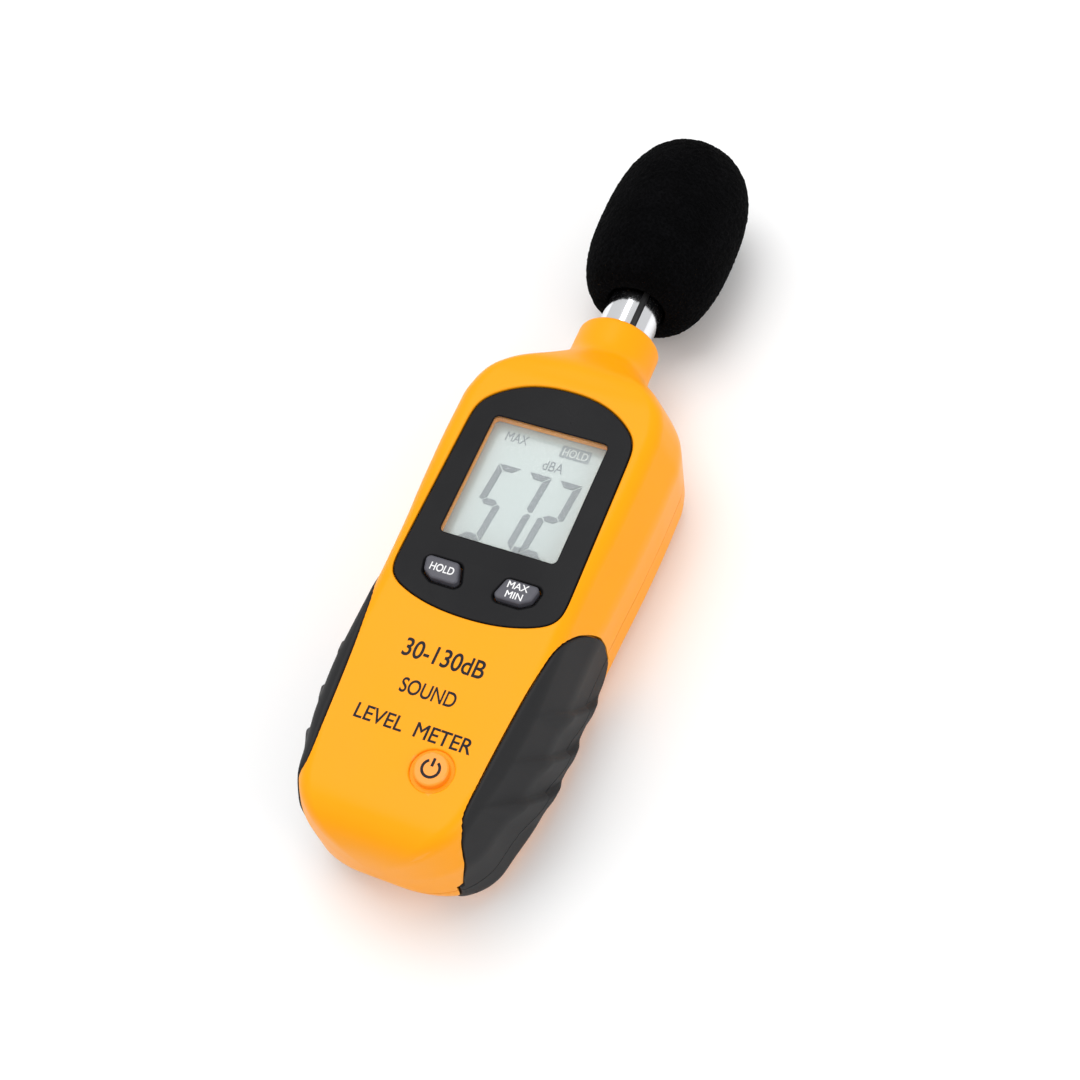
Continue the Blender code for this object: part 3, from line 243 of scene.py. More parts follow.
def curve(knots, place):
    """Smooth value through (place, value) knots, with no overshoot between them."""
    if place <= knots[0][0]:
        return knots[0][1]
    if place >= knots[-1][0]:
        return knots[-1][1]
    slopes = [(b[1] - a[1]) / (b[0] - a[0]) for a, b in zip(knots, knots[1:])]
    index = max(i for i, knot in enumerate(knots[:-1]) if knot[0] <= place)
    ends = []
    for knot in (index, index + 1):
        if 0 < knot < len(slopes) and slopes[knot - 1] * slopes[knot] > 0:
            ends.append(2 / (1 / slopes[knot - 1] + 1 / slopes[knot]))
        else:
            ends.append(0.0)
    (x0, y0), (x1, y1) = knots[index], knots[index + 1]
    span = x1 - x0
    t = (place - x0) / span
    return (y0 * (1 + 2 * t) * (1 - t) ** 2 + y1 * t * t * (3 - 2 * t)
            + span * (ends[0] * t * (1 - t) ** 2 - ends[1] * t * t * (1 - t)))


def bulge(place, length, power):
    """1 where place is past length, falling along a superellipse to 0 at place 0."""
    if place >= length:
        return 1.0
    return (1 - (1 - max(place, 0) / length) ** power) ** (1 / power)


def softened(points, passes):
    """A closed outline spaced evenly and smoothed."""
    loop = np.array(points + points[:1])
    run = np.concatenate(([0.0], np.cumsum(np.linalg.norm(np.diff(loop, axis=0), axis=1))))
    even = np.linspace(0.0, run[-1], 241)[:-1]
    loop = np.stack([np.interp(even, run, loop[:, i]) for i in (0, 1)], axis=-1)
    for _step in range(passes):
        loop = 0.5 * loop + 0.25 * (np.roll(loop, 1, axis=0) + np.roll(loop, -1, axis=0))
    return [Vector(p) for p in loop]


def bezel_outline():
    """Arched panel round display and keys, anticlockwise from its lower left."""
    across = [i / 12 - 1 for i in range(25)]
    low = [(BEZEL_HALF_BOTTOM * u, BEZEL_BOTTOM + BEZEL_SAG * abs(u) ** 2.4) for u in across]
    high = [(-BEZEL_HALF_TOP * u, BEZEL_TOP - BEZEL_ARCH * abs(u) ** 2.6) for u in across]
    return softened(low + high, 28)


def key_outline(side):
    """Outline of a display key; the left one mirrors the right one."""
    points = [(side * x, s) for x, s in KEY_OUTLINE]
    return rounded(points if side > 0 else points[::-1], 1.1)


def window_outline(grow=0.0):
    """Outline of the display window, widened by a margin."""
    return oblong(0, WINDOW_CENTRE, WINDOW_WIDTH + 2 * grow, WINDOW_LENGTH + 2 * grow, 1.2)


# The case's surface ------------------------------------------------------------------------------

def half_section(s, side=0.0, face=0.0, back=0.0, fine=1):
    """Right half of the case's cross-section as (x, z) points from top to bottom, moved inwards
    by a wall on each side."""
    left = BODY_LENGTH - s
    share = s / BODY_LENGTH
    tip = bulge(s, BASE_ROUND, 2.4)
    wide = BODY_WIDTH / 2 * curve(WIDTH_CURVE, share)
    wide = COLLAR_RADIUS + (wide - COLLAR_RADIUS) * curve(WIDE_SHOULDER, left)
    rise = COLLAR_RADIUS + (AXIS_HEIGHT - COLLAR_RADIUS) * curve(DEEP_SHOULDER, left)
    top = rise * bulge(s, FACE_ROUND, 3.0)
    low = rise * bulge(s, HEEL_ROUND, 2.0)
    brow = (wide - curve(LEAN_CURVE, share)) * tip - side
    wide = wide * tip - side
    hip = AXIS_HEIGHT + (AXIS_HEIGHT - SIDE_DROP) * top / AXIS_HEIGHT
    high = AXIS_HEIGHT + top - face
    floor = AXIS_HEIGHT - low + back
    corners = [Vector(p) for p in ((0, high), (brow, high), (wide, hip), (wide, floor),
                                   (0, floor))]
    runs = [[corners[0]], [Vector((brow * 0.45, high))]]
    sizes = ((EDGE_RADIUS - side, 3), (SIDE_RADIUS - side, 1), (BACK_RADIUS - side, 3))
    for index, (radius, steps) in enumerate(sizes):
        corner = corners[index + 1]
        runs.append(arc(corner, corners[index] - corner, corners[index + 2] - corner,
                        max(radius, 0.6) * tip, steps * fine))
    runs += [[Vector((brow * 0.45, floor))], [corners[4]]]
    points = []
    for run in runs:
        if points:
            points += [points[-1].lerp(run[0], i / fine) for i in range(1, fine)]
        points += run
    neck = curve(ROUND_NECK, left)
    if neck > 0:
        ring = COLLAR_RADIUS + (wide - COLLAR_RADIUS + side) * (1 - neck) - side
        turn = math.pi / (len(points) - 1)
        points = [p.lerp(Vector((ring * math.sin(i * turn), AXIS_HEIGHT + ring * math.cos(i * turn))),
                         neck) for i, p in enumerate(points)]
    return points


@lru_cache(maxsize=None)
def section_line(s):
    """The half section at s and the share of its length at each point."""
    points = np.array([tuple(p) for p in half_section(s, fine=FINE)])
    steps = np.linalg.norm(np.diff(points, axis=0), axis=1)
    run = np.concatenate(([0.0], np.cumsum(steps)))
    return points, run / run[-1], run[-1]


def along_section(s, shares):
    """(x, z) places at shares of the half section's length, from the top."""
    points, run, _length = section_line(round(s, 4))
    return np.stack([np.interp(shares, run, points[:, i]) for i in (0, 1)], axis=-1)


def outward(s, shares):
    """Directions (x, s, z) out of the case there."""
    reach = 1.0 / section_line(round(s, 4))[2]
    around = along_section(s, shares + reach) - along_section(s, shares - reach)
    run = along_section(s + 0.7, shares) - along_section(s - 0.7, shares)
    flat = np.zeros(len(shares))
    first = np.stack([around[:, 0], flat, around[:, 1]], axis=-1)
    second = np.stack([run[:, 0], flat + 1.4, run[:, 1]], axis=-1)
    normal = np.cross(first, second)
    return normal / np.linalg.norm(normal, axis=1)[:, None]


def share_where(s, column, limit, above=-1.0):
    """Share of the half section where x first passes a limit, or z first falls under it."""
    points, run, _length = section_line(round(s, 4))
    inside = (points[:, 0] < limit) & (points[:, 1] > above) if column == 0 else points[:, 1] > limit
    last = len(inside) - 1 if inside.all() else int(np.argmin(inside)) - 1
    nearer, further = points[last, column], points[min(last + 1, len(points) - 1), column]
    step = 0.0 if nearer == further else (limit - nearer) / (further - nearer)
    return run[last] + (run[min(last + 1, len(run) - 1)] - run[last]) * min(max(step, 0), 1)


def grip_taper(s, grow=0.0):
    """Share of a grip's full width left near its two ends."""
    top = max(GRIP_BLUNT_TOP, bulge(GRIP_TOP + grow - s, GRIP_TOP_TAPER, 2.2))
    base = max(GRIP_BLUNT_BASE, bulge(s - GRIP_BASE + grow, GRIP_BASE_TAPER, 2.2))
    return min(top, base)


def front_span(s, grow=0.0):
    """Shares of the half section between which the front grip lies, and its recess if grown."""
    start = share_where(s, 0, curve(GRIP_EDGE, s), AXIS_HEIGHT)
    end = share_where(s, 1, PARTING_HEIGHT)
    length = section_line(round(s, 4))[2]
    reach = GRIP_SEAM * (grow > 0) / length
    split = (grow or -GAP / 2) / length
    return end - (end - start) * grip_taper(s, grow) - reach, end + split


def rear_span(s, grow=0.0):
    """Shares of the half section between which the rear grip lies, and its recess if grown."""
    start = share_where(s, 1, PARTING_HEIGHT)
    end = share_where(s, 1, GRIP_REAR_HEIGHT)
    length = section_line(round(s, 4))[2]
    reach = GRIP_SEAM * (grow > 0) / length
    split = (grow or -GAP / 2) / length
    return start - split, start + (end - start) * grip_taper(s, grow) + reach


def eased(value):
    """Smooth step from 0 to 1."""
    value = np.clip(value, 0.0, 1.0)
    return value * value * (3 - 2 * value)


def fins(s, down):
    """Height of the finger fins, down running from 0 at the face's edge past 1 at the parting.
    Each starts as a point, widens towards the side and is steep on the microphone's side."""
    height = np.zeros(len(down))
    reach = np.clip((down - 0.08) / 0.92, 0.0, 1.0)
    fade = eased((1.75 - down) / 0.5)
    for place in FIN_PLACES:
        wide = 0.4 + FIN_WIDTH * reach
        away = s - place - FIN_SLANT * np.clip(down - 0.08, 0.0, 2.0) ** 0.9
        steep = eased((wide - away) / FIN_STEP)
        gentle = eased((away + 1.9 * wide) / (2.3 * wide))
        height += FIN_HEIGHT * np.minimum(1.0, 1.8 * reach) * fade * steep * gentle
    return height


# Modelling by hand -------------------------------------------------------------------------------

def fresh():
    """Nothing selected, out of edit mode."""
    if bpy.context.object and bpy.context.object.mode != "OBJECT":
        bpy.ops.object.mode_set(mode="OBJECT")
    bpy.ops.object.select_all(action="DESELECT")


def only(piece):
    fresh()
    piece.select_set(True)
    bpy.context.view_layer.objects.active = piece


def edit(piece):
    only(piece)
    bpy.ops.object.mode_set(mode="EDIT")
    bpy.ops.mesh.select_all(action="SELECT")


def named(name):
    """The active object, once it has its name."""
    piece = bpy.context.object
    piece.name = name
    piece.data.name = name
    return piece


def apply_modifier(piece, kind, **settings):
    """Add one modifier with its settings and apply it."""
    only(piece)
    step = piece.modifiers.new(kind.lower(), kind)
    for setting, value in settings.items():
        setattr(step, setting, value)
    bpy.ops.object.modifier_apply(modifier=step.name)
    return piece


def grid(name, places):
    """A grid whose corners lie on rows of (x, s, z) places."""
    fresh()
    rows, columns = places.shape[:2]
    bpy.ops.mesh.primitive_grid_add(x_subdivisions=columns - 1, y_subdivisions=rows - 1)
    piece = named(name)
    points = (places - np.array((0, HALF_LENGTH, 0))) * MM
    piece.data.vertices.foreach_set("co", points.reshape(-1))
    piece.data.update()
    return piece


def tube_of(name, rings):
    """A skin over closed rings of (x, s, z) places, with a face at each end."""
    places = np.array([list(ring) + [ring[0]] for ring in rings], float)
    piece = grid(name, places)
    edit(piece)
    bpy.ops.mesh.remove_doubles(threshold=0.002 * MM)
    bpy.ops.mesh.select_all(action="DESELECT")
    bpy.ops.mesh.select_non_manifold()
    bpy.ops.mesh.fill_holes(sides=0)
    bpy.ops.mesh.select_all(action="SELECT")
    bpy.ops.mesh.normals_make_consistent(inside=False)
    fresh()
    return piece


def stack(name, outline, levels):
    """A flat outline raised through (height, growth) levels."""
    return tube_of(name, [[(p.x, p.y, height) for p in grown(outline, growth)]
                          for height, growth in levels])


def roll(top, radius, outwards=1, steps=4):
    """Levels that round an upper edge: a cap's edge inwards, or a hole's edge outwards."""
    levels = []
    for step in range(steps + 1):
        turn = math.pi / 2 * step / steps
        levels.append((top - radius + radius * math.sin(turn),
                       outwards * radius * (1 - math.cos(turn))))
    return levels


def punch(outline, low, top, radius=0.25):
    """A cutter for a hole through the face, with a rounded upper edge."""
    levels = [(low, 0.0)] + roll(top, radius) + [(top + 2.0, radius + 0.02)]
    return stack("punch", outline, levels)


def cap(name, outline, low, top, radius):
    """A raised piece with a rounded upper edge."""
    return stack(name, outline, [(low, 0.0)] + roll(top, radius, -1))


def block(name, low, high):
    """A box between two places."""
    fresh()
    first, last = at(*low), at(*high)
    bpy.ops.mesh.primitive_cube_add(size=1, location=(first + last) / 2)
    piece = named(name)
    piece.scale = last - first
    bpy.ops.object.transform_apply(location=True, rotation=True, scale=True)
    return piece


def peg(name, x, s, radius, low, high, vertices=48):
    """An upright round pin."""
    fresh()
    bpy.ops.mesh.primitive_cylinder_add(vertices=vertices, radius=radius * MM,
                                        depth=(high - low) * MM,
                                        location=at(x, s, (low + high) / 2))
    piece = named(name)
    bpy.ops.object.transform_apply(location=True, rotation=True, scale=True)
    return piece


def spun(name, profile, centre, along, steps):
    """A closed (radius, run) profile spun about the line along "Y" or "Z" through centre."""
    fresh()
    bpy.ops.mesh.primitive_circle_add(vertices=len(profile))
    piece = named(name)
    axis = Vector((0, 1, 0)) if along == "Y" else Vector((0, 0, 1))
    origin = at(*centre)
    for corner, (radius, run) in zip(piece.data.vertices, profile):
        corner.co = origin + axis * (run * MM) + Vector((radius * MM, 0, 0))
    edit(piece)
    bpy.ops.mesh.spin(steps=steps, angle=math.tau, center=origin, axis=axis)
    bpy.ops.mesh.select_all(action="SELECT")
    bpy.ops.mesh.remove_doubles(threshold=0.002 * MM)
    bpy.ops.mesh.dissolve_degenerate(threshold=0.0005 * MM)
    bpy.ops.mesh.select_all(action="SELECT")
    bpy.ops.mesh.normals_make_consistent(inside=False)
    fresh()
    return piece


def joined(pieces, name):
    """Several separate pieces as one."""
    fresh()
    for piece in pieces:
        piece.select_set(True)
    bpy.context.view_layer.objects.active = pieces[0]
    bpy.ops.object.join()
    return named(name)


def carve(piece, tool, operation="DIFFERENCE"):
    """Cut, keep or add the tool's shape, and throw the tool away."""
    apply_modifier(piece, "BOOLEAN", operation=operation, object=tool)
    bpy.data.objects.remove(tool)
    edit(piece)
    bpy.ops.mesh.remove_doubles(threshold=0.004 * MM)
    bpy.ops.mesh.dissolve_degenerate(threshold=0.002 * MM)
    fresh()
    return piece


def lettering(name, words, x, s, z, height, width, thickness=0.03, weight=0.022):
    """Printed words, centred on a place, as a thin raised mesh of a given height and width."""
    fresh()
    bpy.ops.object.text_add()
    letters = bpy.context.object.data
    letters.body = words
    letters.align_x = "CENTER"
    letters.extrude = 0.5
    bpy.ops.object.convert(target="MESH")
    piece = named(name)
    edit(piece)
    bpy.ops.mesh.remove_doubles(threshold=0.0001)
    bpy.ops.transform.shrink_fatten(value=weight)
    fresh()
    corners = np.array([tuple(v.co) for v in piece.data.vertices])
    low, high = corners.min(0), corners.max(0)
    size = np.array((width, height, thickness)) * MM
    corners = (corners - (low + high) / 2) * size / (high - low) + np.array(at(x, s, z))
    piece.data.vertices.foreach_set("co", corners.reshape(-1))
    piece.data.update()
    return piece


def finished(piece, body, material, nodes=(), angle=32, level=False):
    """Shade the piece, give it its finish, and hang it on its body."""
    only(piece)
    bpy.ops.object.shade_smooth_by_angle(angle=math.radians(angle))
    if level:
        apply_modifier(piece, "WEIGHTED_NORMAL", keep_sharp=True)
    piece.data.materials.clear()
    piece.data.materials.append(material)
    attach(piece, body)
    if nodes:
        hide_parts(*nodes)
    return piece


# Shared effects of the finishes ------------------------------------------------------------------

def effect(name, inputs, outputs):
    """An empty node group with its named sockets."""
    group = bpy.data.node_groups.new(name, "ShaderNodeTree")
    for label, value in inputs:
        socket = group.interface.new_socket(label, in_out="INPUT", socket_type="NodeSocketFloat")
        socket.default_value = value
    for label in outputs:
        group.interface.new_socket(label, in_out="OUTPUT", socket_type="NodeSocketFloat")
    return group, group.nodes.new("NodeGroupInput"), group.nodes.new("NodeGroupOutput")


def node(tree, kind, **values):
    """A node with its settings, and values for its sockets under their labels."""
    made = tree.nodes.new(kind)
    for label, value in values.items():
        if hasattr(made, label):
            setattr(made, label, value)
        else:
            made.inputs[label.replace("_", " ").title()].default_value = value
    return made


def math_node(tree, operation, first, second):
    """Result of one calculation with two values or sockets."""
    made = tree.nodes.new("ShaderNodeMath")
    made.operation = operation
    for socket, value in zip(made.inputs, (first, second)):
        if isinstance(value, (int, float)):
            socket.default_value = value
        else:
            tree.links.new(value, socket)
    return made.outputs[0]


def make_grain():
    """Spark-eroded texture of a mould: fine pits over a slow unevenness. Density is per metre."""
    group, start, end = effect("mould_grain", (("Density", 3000.0),), ("Height", "Patch"))
    place = group.nodes.new("ShaderNodeTexCoord").outputs["Object"]
    fine = node(group, "ShaderNodeTexNoise", detail=3.0, roughness=0.6)
    pits = node(group, "ShaderNodeTexVoronoi", feature="SMOOTH_F1", smoothness=0.7)
    slow = node(group, "ShaderNodeTexNoise", scale=45.0, detail=3.0)
    for texture in (fine, pits, slow):
        group.links.new(place, texture.inputs["Vector"])
    group.links.new(start.outputs["Density"], fine.inputs["Scale"])
    group.links.new(math_node(group, "MULTIPLY", start.outputs["Density"], 0.6),
                    pits.inputs["Scale"])
    height = math_node(group, "ADD", fine.outputs["Fac"], pits.outputs["Distance"])
    group.links.new(math_node(group, "MULTIPLY", height, 0.5), end.inputs["Height"])
    group.links.new(slow.outputs["Fac"], end.inputs["Patch"])
    return group


def make_wear_and_edge_highlight():
    """Where edges are worn and where they catch the light: convex stretches, broken up by noise; it
    paints them paler as worn edges and as a painted edge highlight.
    """
    group, start, end = effect("edge_wear_and_highlight", (("Amount", 0.3),), ("Mask",))
    edge = group.nodes.new("ShaderNodeNewGeometry").outputs["Pointiness"]
    place = group.nodes.new("ShaderNodeTexCoord").outputs["Object"]
    broken = node(group, "ShaderNodeTexNoise", scale=260.0, detail=4.0)
    group.links.new(place, broken.inputs["Vector"])
    spread = node(group, "ShaderNodeMapRange")
    spread.inputs["From Min"].default_value = 0.515
    spread.inputs["From Max"].default_value = 0.60
    group.links.new(edge, spread.inputs["Value"])
    mask = math_node(group, "MULTIPLY", spread.outputs["Result"], broken.outputs["Fac"])
    mask = math_node(group, "MULTIPLY", mask, start.outputs["Amount"])
    group.links.new(mask, end.inputs["Mask"])
    return group


GRAIN = make_grain()
# worn edges and painted edge highlight, shared by the moulded finishes
WEAR_AND_EDGE_HIGHLIGHT = make_wear_and_edge_highlight()


def grouped(tree, group, **values):
    """A shared effect with its values set."""
    made = tree.nodes.new("ShaderNodeGroup")
    made.node_tree = group
    for label, value in values.items():
        made.inputs[label.title()].default_value = value
    return made


def blended(tree, factor, first, second):
    """Colour mixed from two colours or sockets by a factor socket."""
    made = tree.nodes.new("ShaderNodeMix")
    made.data_type = "RGBA"
    tree.links.new(factor, made.inputs["Factor"])
    for label, value in (("A", first), ("B", second)):
        socket = [s for s in made.inputs if s.name == label and s.type == "RGBA"][0]
        if isinstance(value, tuple):
            socket.default_value = (*value, 1.0)
        else:
            tree.links.new(value, socket)
    return [s for s in made.outputs if s.type == "RGBA"][0]


def ranged(tree, value, low, high, first=0.0, last=1.0):
    """A value stretched from first..last to low..high."""
    made = tree.nodes.new("ShaderNodeMapRange")
    made.inputs["From Min"].default_value = first
    made.inputs["From Max"].default_value = last
    made.inputs["To Min"].default_value = low
    made.inputs["To Max"].default_value = high
    tree.links.new(value, made.inputs["Value"])
    return made.outputs["Result"]


def bumped(tree, height, depth, strength=1.0):
    """A normal from a height socket; depth is in millimetres."""
    made = node(tree, "ShaderNodeBump", strength=strength, distance=depth * MM)
    tree.links.new(height, made.inputs["Height"])
    return made.outputs["Normal"]


def start_finish(name, **settings):
    """A material with the shader's constant sockets set."""
    material = bpy.data.materials.new(name)
    material.use_nodes = True
    shader = material.node_tree.nodes["Principled BSDF"]
    for label, value in settings.items():
        shader.inputs[label.replace("_", " ")].default_value = value
    return material, material.node_tree, shader


def tinted(color, by):
    """A colour made lighter or darker."""
    return tuple(min(1.0, max(0.0, c * by)) for c in color)


def moulded(name, color, roughness, density=3000.0, depth=0.02, wear_and_highlight=0.25, spread=0.06,
            uneven=0.06, **settings):
    """Moulded plastic or rubber: fine mould texture, slightly uneven, paler at its edges as worn edges
    and as a painted highlight.
    """
    material, tree, shader = start_finish(name, **settings)
    grain = grouped(tree, GRAIN, density=density)
    patch = ranged(tree, grain.outputs["Patch"], 0.0, 1.0, 0.3, 0.7)
    body = blended(tree, patch, tinted(color, 1 - uneven), tinted(color, 1 + uneven))
    # painted highlight and worn edges: convex edges are mixed towards a paler colour
    worn_and_lit_edges = grouped(tree, WEAR_AND_EDGE_HIGHLIGHT, amount=wear_and_highlight)
    lighter = tuple(c + (1 - c) * 0.35 for c in color)
    color_out = blended(tree, worn_and_lit_edges.outputs["Mask"], body, lighter)
    tree.links.new(color_out, shader.inputs["Base Color"])
    tree.links.new(ranged(tree, patch, roughness - spread, roughness + spread),
                   shader.inputs["Roughness"])
    tree.links.new(bumped(tree, grain.outputs["Height"], depth), shader.inputs["Normal"])
    return material


def metal(name, color, roughness, stretch=(1.0, 0.05, 1.0), density=4000.0, depth=0.003):
    """Drawn or plated metal with fine lines along the stretched direction."""
    material, tree, shader = start_finish(name, Metallic=1.0)
    place = tree.nodes.new("ShaderNodeTexCoord").outputs["Object"]
    turned = tree.nodes.new("ShaderNodeMapping")
    turned.inputs["Scale"].default_value = stretch
    tree.links.new(place, turned.inputs["Vector"])
    lines = node(tree, "ShaderNodeTexNoise", scale=density, detail=2.0)
    slow = node(tree, "ShaderNodeTexNoise", scale=90.0, detail=3.0)
    tree.links.new(turned.outputs["Vector"], lines.inputs["Vector"])
    tree.links.new(place, slow.inputs["Vector"])
    tree.links.new(blended(tree, slow.outputs["Fac"], tinted(color, 0.93), tinted(color, 1.05)),
                   shader.inputs["Base Color"])
    tree.links.new(ranged(tree, slow.outputs["Fac"], roughness * 0.7, roughness * 1.4),
                   shader.inputs["Roughness"])
    tree.links.new(bumped(tree, lines.outputs["Fac"], depth), shader.inputs["Normal"])
    return material


def foam_finish():
    """Black open-cell foam: small round cells painted darker as shade inside the pores, with paler
    struts between them, in slow random patches.
    """
    material, tree, shader = start_finish("open_cell_foam", Roughness=0.98,
                                          Specular_IOR_Level=0.04)
    place = tree.nodes.new("ShaderNodeTexCoord").outputs["Object"]
    cells = node(tree, "ShaderNodeTexVoronoi", scale=1500.0)
    small = node(tree, "ShaderNodeTexVoronoi", scale=3400.0)
    slow = node(tree, "ShaderNodeTexNoise", scale=140.0, detail=5.0)
    for texture in (cells, small, slow):
        tree.links.new(place, texture.inputs["Vector"])
    height = math_node(tree, "MAXIMUM", cells.outputs["Distance"],
                       math_node(tree, "MULTIPLY", small.outputs["Distance"], 0.7))
    struts = ranged(tree, height, 0.0, 1.0, 0.15, 0.85)
    tone = math_node(tree, "MULTIPLY", struts, slow.outputs["Fac"])
    # painted shade: the cells are coloured darker than the struts between them, varied by slow noise
    tree.links.new(blended(tree, tone, (0.0004, 0.0004, 0.0005), (0.0045, 0.0045, 0.0052)),
                   shader.inputs["Base Color"])
    tree.links.new(bumped(tree, height, 0.35), shader.inputs["Normal"])
    return material


def lcd_finish():
    """Reflective liquid crystal glass: grey-green, paler towards the top, with faint unlit dots."""
    material, tree, shader = start_finish("display_glass", Roughness=0.22, Coat_Roughness=0.05,
                                          Coat_Weight=0.3)
    place = tree.nodes.new("ShaderNodeTexCoord").outputs["Object"]
    split = tree.nodes.new("ShaderNodeSeparateXYZ")
    tree.links.new(place, split.inputs["Vector"])
    low = at(0, WINDOW_CENTRE - WINDOW_LENGTH / 2, 0).y
    slope = ranged(tree, split.outputs["Y"], 0.0, 1.0, low, low + WINDOW_LENGTH * MM)
    cloud = node(tree, "ShaderNodeTexNoise", scale=60.0, detail=2.0)
    tree.links.new(place, cloud.inputs["Vector"])
    dots = node(tree, "ShaderNodeTexNoise", scale=9000.0, detail=1.0)
    tree.links.new(place, dots.inputs["Vector"])
    mix = math_node(tree, "ADD", math_node(tree, "MULTIPLY", slope, 0.7),
                    math_node(tree, "MULTIPLY", cloud.outputs["Fac"], 0.3))
    tree.links.new(blended(tree, mix, (0.385, 0.450, 0.440), (0.465, 0.535, 0.520)),
                   shader.inputs["Base Color"])
    tree.links.new(bumped(tree, dots.outputs["Fac"], 0.002), shader.inputs["Normal"])
    return material


def lens_finish():
    """Clear acrylic with a faint haze."""
    material, tree, shader = start_finish("clear_lens", Base_Color=(0.9, 0.95, 0.95, 1.0),
                                          Alpha=0.06)
    place = tree.nodes.new("ShaderNodeTexCoord").outputs["Object"]
    haze = node(tree, "ShaderNodeTexNoise", scale=120.0, detail=4.0)
    tree.links.new(place, haze.inputs["Vector"])
    tree.links.new(ranged(tree, haze.outputs["Fac"], 0.02, 0.08), shader.inputs["Roughness"])
    return material


def striped(name, first, second, count, axis="X"):
    """Two colours in bands, as on a battery jacket or a striped contact rubber."""
    material, tree, shader = start_finish(name, Roughness=0.4)
    place = tree.nodes.new("ShaderNodeTexCoord").outputs["Object"]
    bands = node(tree, "ShaderNodeTexWave", scale=count, bands_direction=axis)
    worn = node(tree, "ShaderNodeTexNoise", scale=300.0, detail=3.0)
    for texture in (bands, worn):
        tree.links.new(place, texture.inputs["Vector"])
    step = ranged(tree, bands.outputs["Fac"], 0.0, 1.0, 0.45, 0.55)
    tree.links.new(blended(tree, step, first, second), shader.inputs["Base Color"])
    tree.links.new(bumped(tree, worn.outputs["Fac"], 0.01), shader.inputs["Normal"])
    return material


CASE_YELLOW = (0.96, 0.350, 0.0015)
FINISH = {
    "case": moulded("case_plastic", CASE_YELLOW, 0.36, 2600.0, 0.010, wear_and_highlight=0.2, uneven=0.02,
                    Specular_IOR_Level=0.14),
    "rubber": moulded("grip_rubber", (0.0150, 0.0150, 0.0160), 0.60, 3500.0, 0.016, wear_and_highlight=0.05,
                      Specular_IOR_Level=0.20),
    "bezel": moulded("bezel_plastic", (0.0055, 0.0055, 0.0065), 0.32, 5000.0, 0.003, wear_and_highlight=0.06,
                     Specular_IOR_Level=0.10),
    "key": moulded("key_plastic", (0.052, 0.052, 0.068), 0.42, 4000.0, 0.008, wear_and_highlight=0.45),
    "power": moulded("power_key_plastic", (0.96, 0.300, 0.004), 0.38, 3000.0, 0.008, wear_and_highlight=0.2,
                     uneven=0.02),
    "print": moulded("dark_print", (0.006, 0.005, 0.008), 0.5, 6000.0, 0.002, wear_and_highlight=0.0,
                     Specular_IOR_Level=0.2),
    "white_print": moulded("white_print", (0.80, 0.80, 0.80), 0.5, 6000.0, 0.002, wear_and_highlight=0.0),
    "segments": moulded("segment_tint", (0.205, 0.235, 0.250), 0.45, 8000.0, 0.001, wear_and_highlight=0.0,
                        uneven=0.10),
    "faint_segments": moulded("faint_segment_tint", (0.27, 0.31, 0.32), 0.45, 8000.0, 0.001,
                              wear_and_highlight=0.0),
    "pale_segments": moulded("pale_segment_tint", (0.56, 0.62, 0.60), 0.45, 8000.0, 0.001,
                             wear_and_highlight=0.0),
    "sleeve": moulded("sleeve_plastic", (0.008, 0.008, 0.009), 0.5, 4000.0, 0.005),
    "holder": moulded("holder_plastic", (0.72, 0.72, 0.69), 0.5),
    "plunger": moulded("plunger_plastic", (0.60, 0.60, 0.57), 0.4),
    "chip": moulded("chip_plastic", (0.028, 0.028, 0.032), 0.5, 5000.0),
    "trimmer": moulded("trimmer_plastic", (0.03, 0.10, 0.40), 0.42),
    "board": moulded("circuit_board", (0.02, 0.16, 0.06), 0.4, 1500.0, 0.02, uneven=0.2),
    "red_wire": moulded("wire_red", (0.5, 0.02, 0.02), 0.42),
    "black_wire": moulded("wire_black", (0.02, 0.02, 0.02), 0.42),
    "chrome": metal("tube_chrome", (0.86, 0.87, 0.89), 0.10),
    "plated": metal("plated_steel", (0.58, 0.57, 0.55), 0.30),
    "capsule": metal("capsule_metal", (0.55, 0.56, 0.58), 0.30),
    "foam": foam_finish(),
    "lcd": lcd_finish(),
    "lens": lens_finish(),
    "strip": striped("strip_rubber", (0.42, 0.28, 0.30), (0.06, 0.05, 0.06), 900.0),
    "battery": striped("battery_jacket", (0.020, 0.022, 0.028), (0.42, 0.25, 0.05), 5.2, "Y"),
}


# Camera, floor and light -------------------------------------------------------------------------

CAMERA_TARGET = (2.4, 85.3, 18.2)
CAMERA_DISTANCE = 369.7
CAMERA_AZIMUTH = 34.13
CAMERA_ELEVATION = 59.03
CAMERA_ROLL = -13.72
CAMERA_LENS = 53.6


def make_camera():
    """Camera above the base end, to the right."""
    azimuth, elevation = math.radians(CAMERA_AZIMUTH), math.radians(CAMERA_ELEVATION)
    back = Vector((math.sin(azimuth) * math.cos(elevation),
                   -math.cos(azimuth) * math.cos(elevation), math.sin(elevation)))
    data = bpy.data.cameras.new("camera")
    data.lens = CAMERA_LENS
    data.sensor_width = 36.0
    data.clip_start = 0.01
    camera = bpy.data.objects.new("camera", data)
    bpy.context.scene.collection.objects.link(camera)
    camera.rotation_mode = "QUATERNION"
    turn = back.to_track_quat("Z", "Y").to_matrix() @ Matrix.Rotation(math.radians(CAMERA_ROLL), 3, "Z")
    camera.rotation_quaternion = turn.to_quaternion()
    camera.location = at(*CAMERA_TARGET) + back * CAMERA_DISTANCE * MM
    bpy.context.scene.camera = camera


